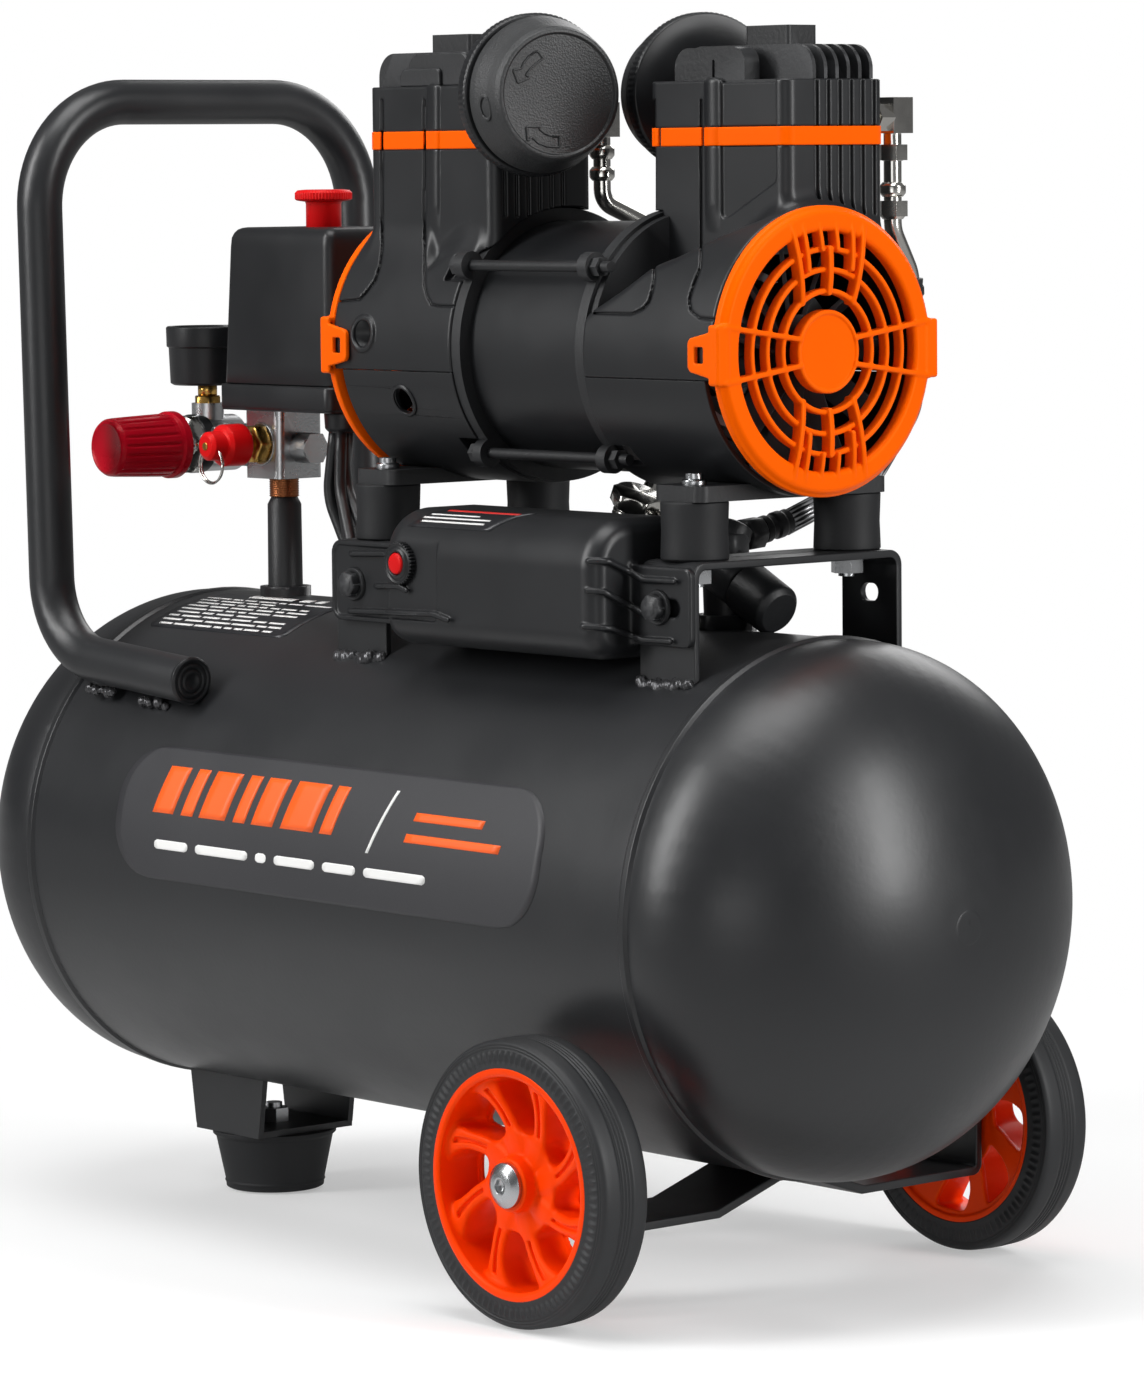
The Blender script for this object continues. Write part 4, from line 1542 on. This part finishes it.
# ============================================================ soft supports
ft = lathe([(0.2, 0.0), (0.2, 23.0), (0.8, 24.2, 0.4), (3.0, 24.4), (3.6, 24.9, 0.2), (4.6, 24.6, 0.2), (26.0, 29.0, 0.3), (27.4, 30.6, 0.5), (29.5, 30.8, 0.5), (29.5, 0.0)],
           (-183.0, 0, 0), (0, 0, 1), 96)
add("foot_moulding", *ft, "frame", M_RUBBER, "rubber", ("rubber_foot",))
mts = []
for (x, y) in ((184, 46), (184, -46), (-30, 46), (-30, -46)):
    mts.append(lathe([(0.0, 0.0), (0.0, 14.6), (0.8, 15.2, 0.4), (4.0, 15.1), (13.0, 14.75), (22.0, 15.1), (25.2, 15.2, 0.4), (26.0, 14.6), (26.0, 0.0)],
                     (x, y, 331.0), (0, 0, 1), 64))
add("mount_mouldings", *join(*mts), "frame", M_RUBBER, "rubber", ("rubber_mounts",))

# ============================================================== wheel bolts
for s_, nm_ in ((-1, "near"), (1, "far")):
    hb = lathe([(0.0, 0.0), (0.0, 9.2), (0.7, 10.0, 0.4), (2.0, 10.0, 0.5), (4.0, 6.8, 2.0), (4.7, 3.6, 0.3), (2.2, 3.4), (2.2, 0.0)],
               (WX, s_ * 147.7, WR), (0, s_, 0), 72,
               mod=lambda t, r, th: (2.9 / cos((th % (pi / 3)) - pi / 6) if 3.2 < r < 3.7 else r))
    add("bolt_head_" + nm_, *hb, "frame", M_STEEL, "zinc")


# ============================================================== handle plugs
pl = []
hd = np.array((-116.5 + 225.8, 0, 262.6 - 270.6))
hd /= np.linalg.norm(hd)
for y in (-98.5, 98.5):
    pl.append(lathe([(-6.0, 0.0), (-6.0, 9.0), (-0.2, 9.2), (0.0, 11.3, 0.3), (1.8, 11.6, 0.6), (2.8, 10.4, 0.5), (2.8, 9.2), (2.1, 8.9), (2.1, 8.2), (2.8, 7.9), (2.8, 6.4),
                     (2.1, 6.1), (2.1, 5.4), (2.8, 5.1), (2.8, 3.4), (2.2, 3.1), (2.2, 0.0)],
                    np.array((-116.5, y, 262.6)) - hd * 0.2, hd, 64))
add("handle_plugs", *join(*pl), "frame", M_PLASTIC_S, "grey_plastic", ("handle_end_plugs",))


# ==================================================================== welds
def blobs(seed, path, r, n, spread):
    rnd_ = random.Random(seed)
    out = []
    P_ = [np.array(p, float) for p in path]
    for i in range(n):
        t = i / (n - 1) * (len(P_) - 1)
        k_ = min(int(t), len(P_) - 2)
        p = P_[k_] + (P_[k_ + 1] - P_[k_]) * (t - k_)
        p = p + np.array([rnd_.uniform(-1, 1) * s_ for s_ in spread])
        out.append((p, r * rnd_.uniform(0.75, 1.35)))
    return out


def weld_mesh(bl, h=0.55):
    C_ = np.array([b[0] for b in bl])
    R_ = np.array([b[1] for b in bl])

    def f(x, y, z):
        d = np.full(np.shape(x), 1e3)
        for c, r in zip(C_, R_):
            d = smin(d, np.sqrt((x - c[0]) ** 2 + (y - c[1]) ** 2 * 1.2 + (z - c[2]) ** 2) - r, 1.2)
        return d + 0.25 * np.sin(x * 2.1 + z) * np.sin(y * 1.9 + x)
    return field_mesh(f, C_.min(0) - R_.max() - 1.5, C_.max(0) + R_.max() + 1.5, h)


wz = TANK_Z + sqrt(TANK_R ** 2 - 63.0 ** 2)
for i, (x0, x1, y) in enumerate(((168, 200, -64.2), (-46, -14, -64.2), (168, 200, 64.2), (-46, -14, 64.2))):
    zz = wz - 1.0
    bl = blobs(11 + i, [(x0, y, zz), (x1, y, zz)], 2.7, 15, (1.2, 1.5, 1.4))
    V, F = weld_mesh(bl)
    add("weld_bracket_%d" % i, V, F, "frame", M_WELD, "black_coat")
for i, y in enumerate((-98.5, 98.5)):
    zt = TANK_Z + sqrt(TANK_R ** 2 - 98.5 ** 2)
    bl = blobs(31 + i, [(-196, y * 0.985, 254), (-140, y * 0.985, 249.0)], 2.2, 14, (1.5, 0.8, 0.8))
    bl = [b for b in bl if b[0][0] < -176 or b[0][0] > -158]
    V, F = weld_mesh(bl)
    add("weld_handle_%d" % i, V, F, "frame", M_WELD, "black_coat")

# ============================================================= hose and lines
hv, hf, huv = tube([(141.2, 47, 340.5, 0), (143, 64, 347, 14), (165, 79, 362, 16), (198, 73, 395, 20), (198, 73, 440, 0)], 5.6, 28, 1.6)
add("braided_hose", hv, hf, "frame", M_HOSE, "zinc", uv=huv)
fe = []
for (p, q) in (((140.2, 34, 338.2), (141.4, 49, 341.6)), ((198, 73, 438), (198.4, 72, 452))):
    p, q = np.array(p, float), np.array(q, float)
    L0 = np.linalg.norm(q - p)
    fe.append(lathe([(0, 4.0), (0, 6.2, 0.4), (L0 * 0.2, 6.3, 0.3), (L0 * 0.27, 5.6, 0.3), (L0 * 0.42, 5.6, 0.3), (L0 * 0.5, 6.3, 0.3), (L0 * 0.72, 6.3, 0.3),
                     (L0 * 0.8, 5.7, 0.3), (L0, 6.0, 0.3), (L0, 4.0)], p, q - p, 48))
add("hose_ferrules", *join(*fe), "frame", M_CASEBLK, "black_steel")
add("hose_nut", *hexm((140, 23.0, 336.6), (0, 1, 0.09), 13.5, 10, 0, 0.9), "frame", M_CASEBLK, "black_steel")
bd = []
for (x, y, zs) in ((200, 60, (508, 492, 482)), (38, 29, (510, 500))):
    for z in zs:
        bd.append(lathe([(-3.4, 3.6), (-3.2, 4.6, 0.3), (-1.6, 5.9, 1.0), (1.6, 5.9, 1.0), (3.2, 4.6, 0.3), (3.4, 3.6)], (x, y, z), (0, 0, 1), 32))
add("line_beads", *join(*bd), "frame", M_NICKEL, "zinc")
# threaded fitting under the motor
p0 = np.array((76.0, 8.0, 334.0))
dr = np.array((0.42, 0.0, 0.9))
th_ = [(0.0, 4.5)]
t = 0.0
while t < 14.0:
    th_ += [(t, 8.2), (t + 0.9, 9.2), (t + 1.8, 8.2)]
    t += 1.85
th_ += [(15.0, 8.2), (15.0, 4.5)]
add("motor_fitting_thread", *lathe(th_, p0, dr, 48), "frame", M_NICKEL, "zinc")
add("motor_fitting_nut", *hexm(p0 + dr / np.linalg.norm(dr) * 15.0, dr, 21.0, 8.0, 10, 1.0), "frame", M_NICKEL, "zinc")

# ==================================================================== cables
cb = []
for q, r in (([(-110, -6, 379, 0), (-113, -8, 350, 26), (-90, -18, 307, 26), (-44, -43, 314, 18), (-26, -54, 320, 0)], 3.3),
             ([(-105, -14, 379, 0), (-104, -16, 350, 22), (-80, -26, 314, 24), (-40, -47, 324, 15), (-18, -55, 324, 0)], 2.8),
             ([(-112, -12, 379, 0), (-118, -12, 346, 26), (-98, -8, 304, 26), (-52, -30, 305, 18), (-30, -50, 308, 0)], 3.0)):
    V, F, uv = tube(q, r, 18, 2.0)
    cb.append((V, F))
V, F, uv = tube([(-108, -10, 379, 0), (-108, -10, 352, 20), (-70, -20, 316, 25), (-10, -45, 316, 14), (30, -55, 318, 0)], 3.05, 18, 2.0)
cb.append((V, F))
add("cable_bundle", *join(*cb), "frame", M_CABLE, "rubber", ("cables",))

# =========================================================== head top details
hb = [prism([(-16, 541, 0), (28, 541, 0), (28, 556.2, 7), (-16, 556.2, 8)], "xz", -42.6, -39.2),
      prism([(-20, 541, 0), (9, 541, 0), (9, 549.2, 2.5), (-20, 549.2, 4)], "xz", -44.4, -42.4)]
add("rear_head_boxes", *join(*hb), "frame", M_CASEBLK, "black_casting", bevel=0.9, seg=3)

# ============================================ black bolts of the capacitor box
cbx = []
for (x, z) in ((-30.0, 311.0), (183.0, 311.0)):
    cbx.append(hexm((x, -72.4, z), (0, 1, 0), 10.8, 4.4, 12, 0.9))
    cbx.append(lathe([(0.0, 5.0), (0.0, 7.4, 0.2), (1.1, 8.0, 0.3), (1.6, 8.0), (1.6, 5.0)], (x, -68.2, z), (0, 1, 0), 48))
    cbx.append(cylm((x, -72.6, z), (0, 1, 0), 3.6, 0.5, 24, 0.1))
add("box_bolts", *join(*cbx), "frame", M_CASEBLK, "black_steel")

# ============================================================== check valve
cx, cy = CVX, CVY
va = np.array((cx + 2.0, cy, 320.0))
vd = np.array((0.86, 0.0, -0.42))
vd /= np.linalg.norm(vd)
ve = np.array((-0.35, 0.30, 0.9))
cvp = [lathe([(0.0, 0.0), (0.0, 13.0, 0.5), (4.0, 13.4, 0.5), (6.0, 12.6, 0.4), (7.5, 11.0, 0.8), (16.0, 10.0, 0.6), (30.0, 10.4, 1.0), (40.0, 10.4, 2.0), (44.0, 8.0, 1.0), (44.0, 0.0)],
             (cx, cy, 286.0), (0, 0, 1), 64),
       hexm(va - vd * 2.0, vd, 23.0, 15.0, 30, 1.2),
       lathe([(12.0, 0.0), (12.0, 9.5), (13.5, 9.5), (14.0, 12.2, 0.8), (35.0, 12.0, 2.4), (37.5, 9.5, 1.0), (37.5, 0.0)], va, vd, 64),
       hexm((cx, cy, 328.0), (0, 0, 1), 19.0, 10.0, 12, 1.0),
       lathe([(0.0, 0.0), (0.0, 8.0, 0.4), (5.0, 8.6, 0.5), (9.0, 8.4, 0.6), (10.0, 6.0, 0.5), (10.0, 0.0)], (cx, cy + 2, 333.0), (0, 0.5, 0.86), 40)]
add("check_valve_body", *join(*cvp), "frame", M_CASEBLK, "black_steel", ("check_valve",))

# raised rim of the lower inspection hole
nrm = np.array((0.0, -58.9, -25.1))
nrm /= np.linalg.norm(nrm)
c0 = np.array((-1.4, -58.9, 396.6))
rv, rf = lathe([(-1.6, 6.3), (-1.6, 8.2), (0.5, 8.2, 0.5), (1.0, 7.4, 0.4), (0.8, 6.4, 0.3)], (0, 0, 0), (0, 0, 1), 64)
e1_ = np.array((1.0, 0, 0))
e2_ = np.cross(nrm, e1_)
hgt = rv[:, 2] - (rv[:, 1] ** 2) / (2 * 64.0)
rv = c0 + np.outer(rv[:, 0], e1_) + np.outer(rv[:, 1], e2_) + np.outer(hgt, nrm)
add("inspection_rim", rv, rf, "frame", M_PLASTIC, "black_plastic")

# blind lining of the upper inspection hole
cv_, cf_ = lathe([(-9.0, 0.0), (-9.0, 6.9, 0.6), (-0.3, 6.9, 0.2), (-0.3, 6.15), (-8.0, 5.8), (-8.0, 0.0)], (-25.0, -63.6, 427.3), (0, -1, 0), 48)
add("inspection_lining", cv_, cf_, "frame", M_PLASTIC, "black_plastic")
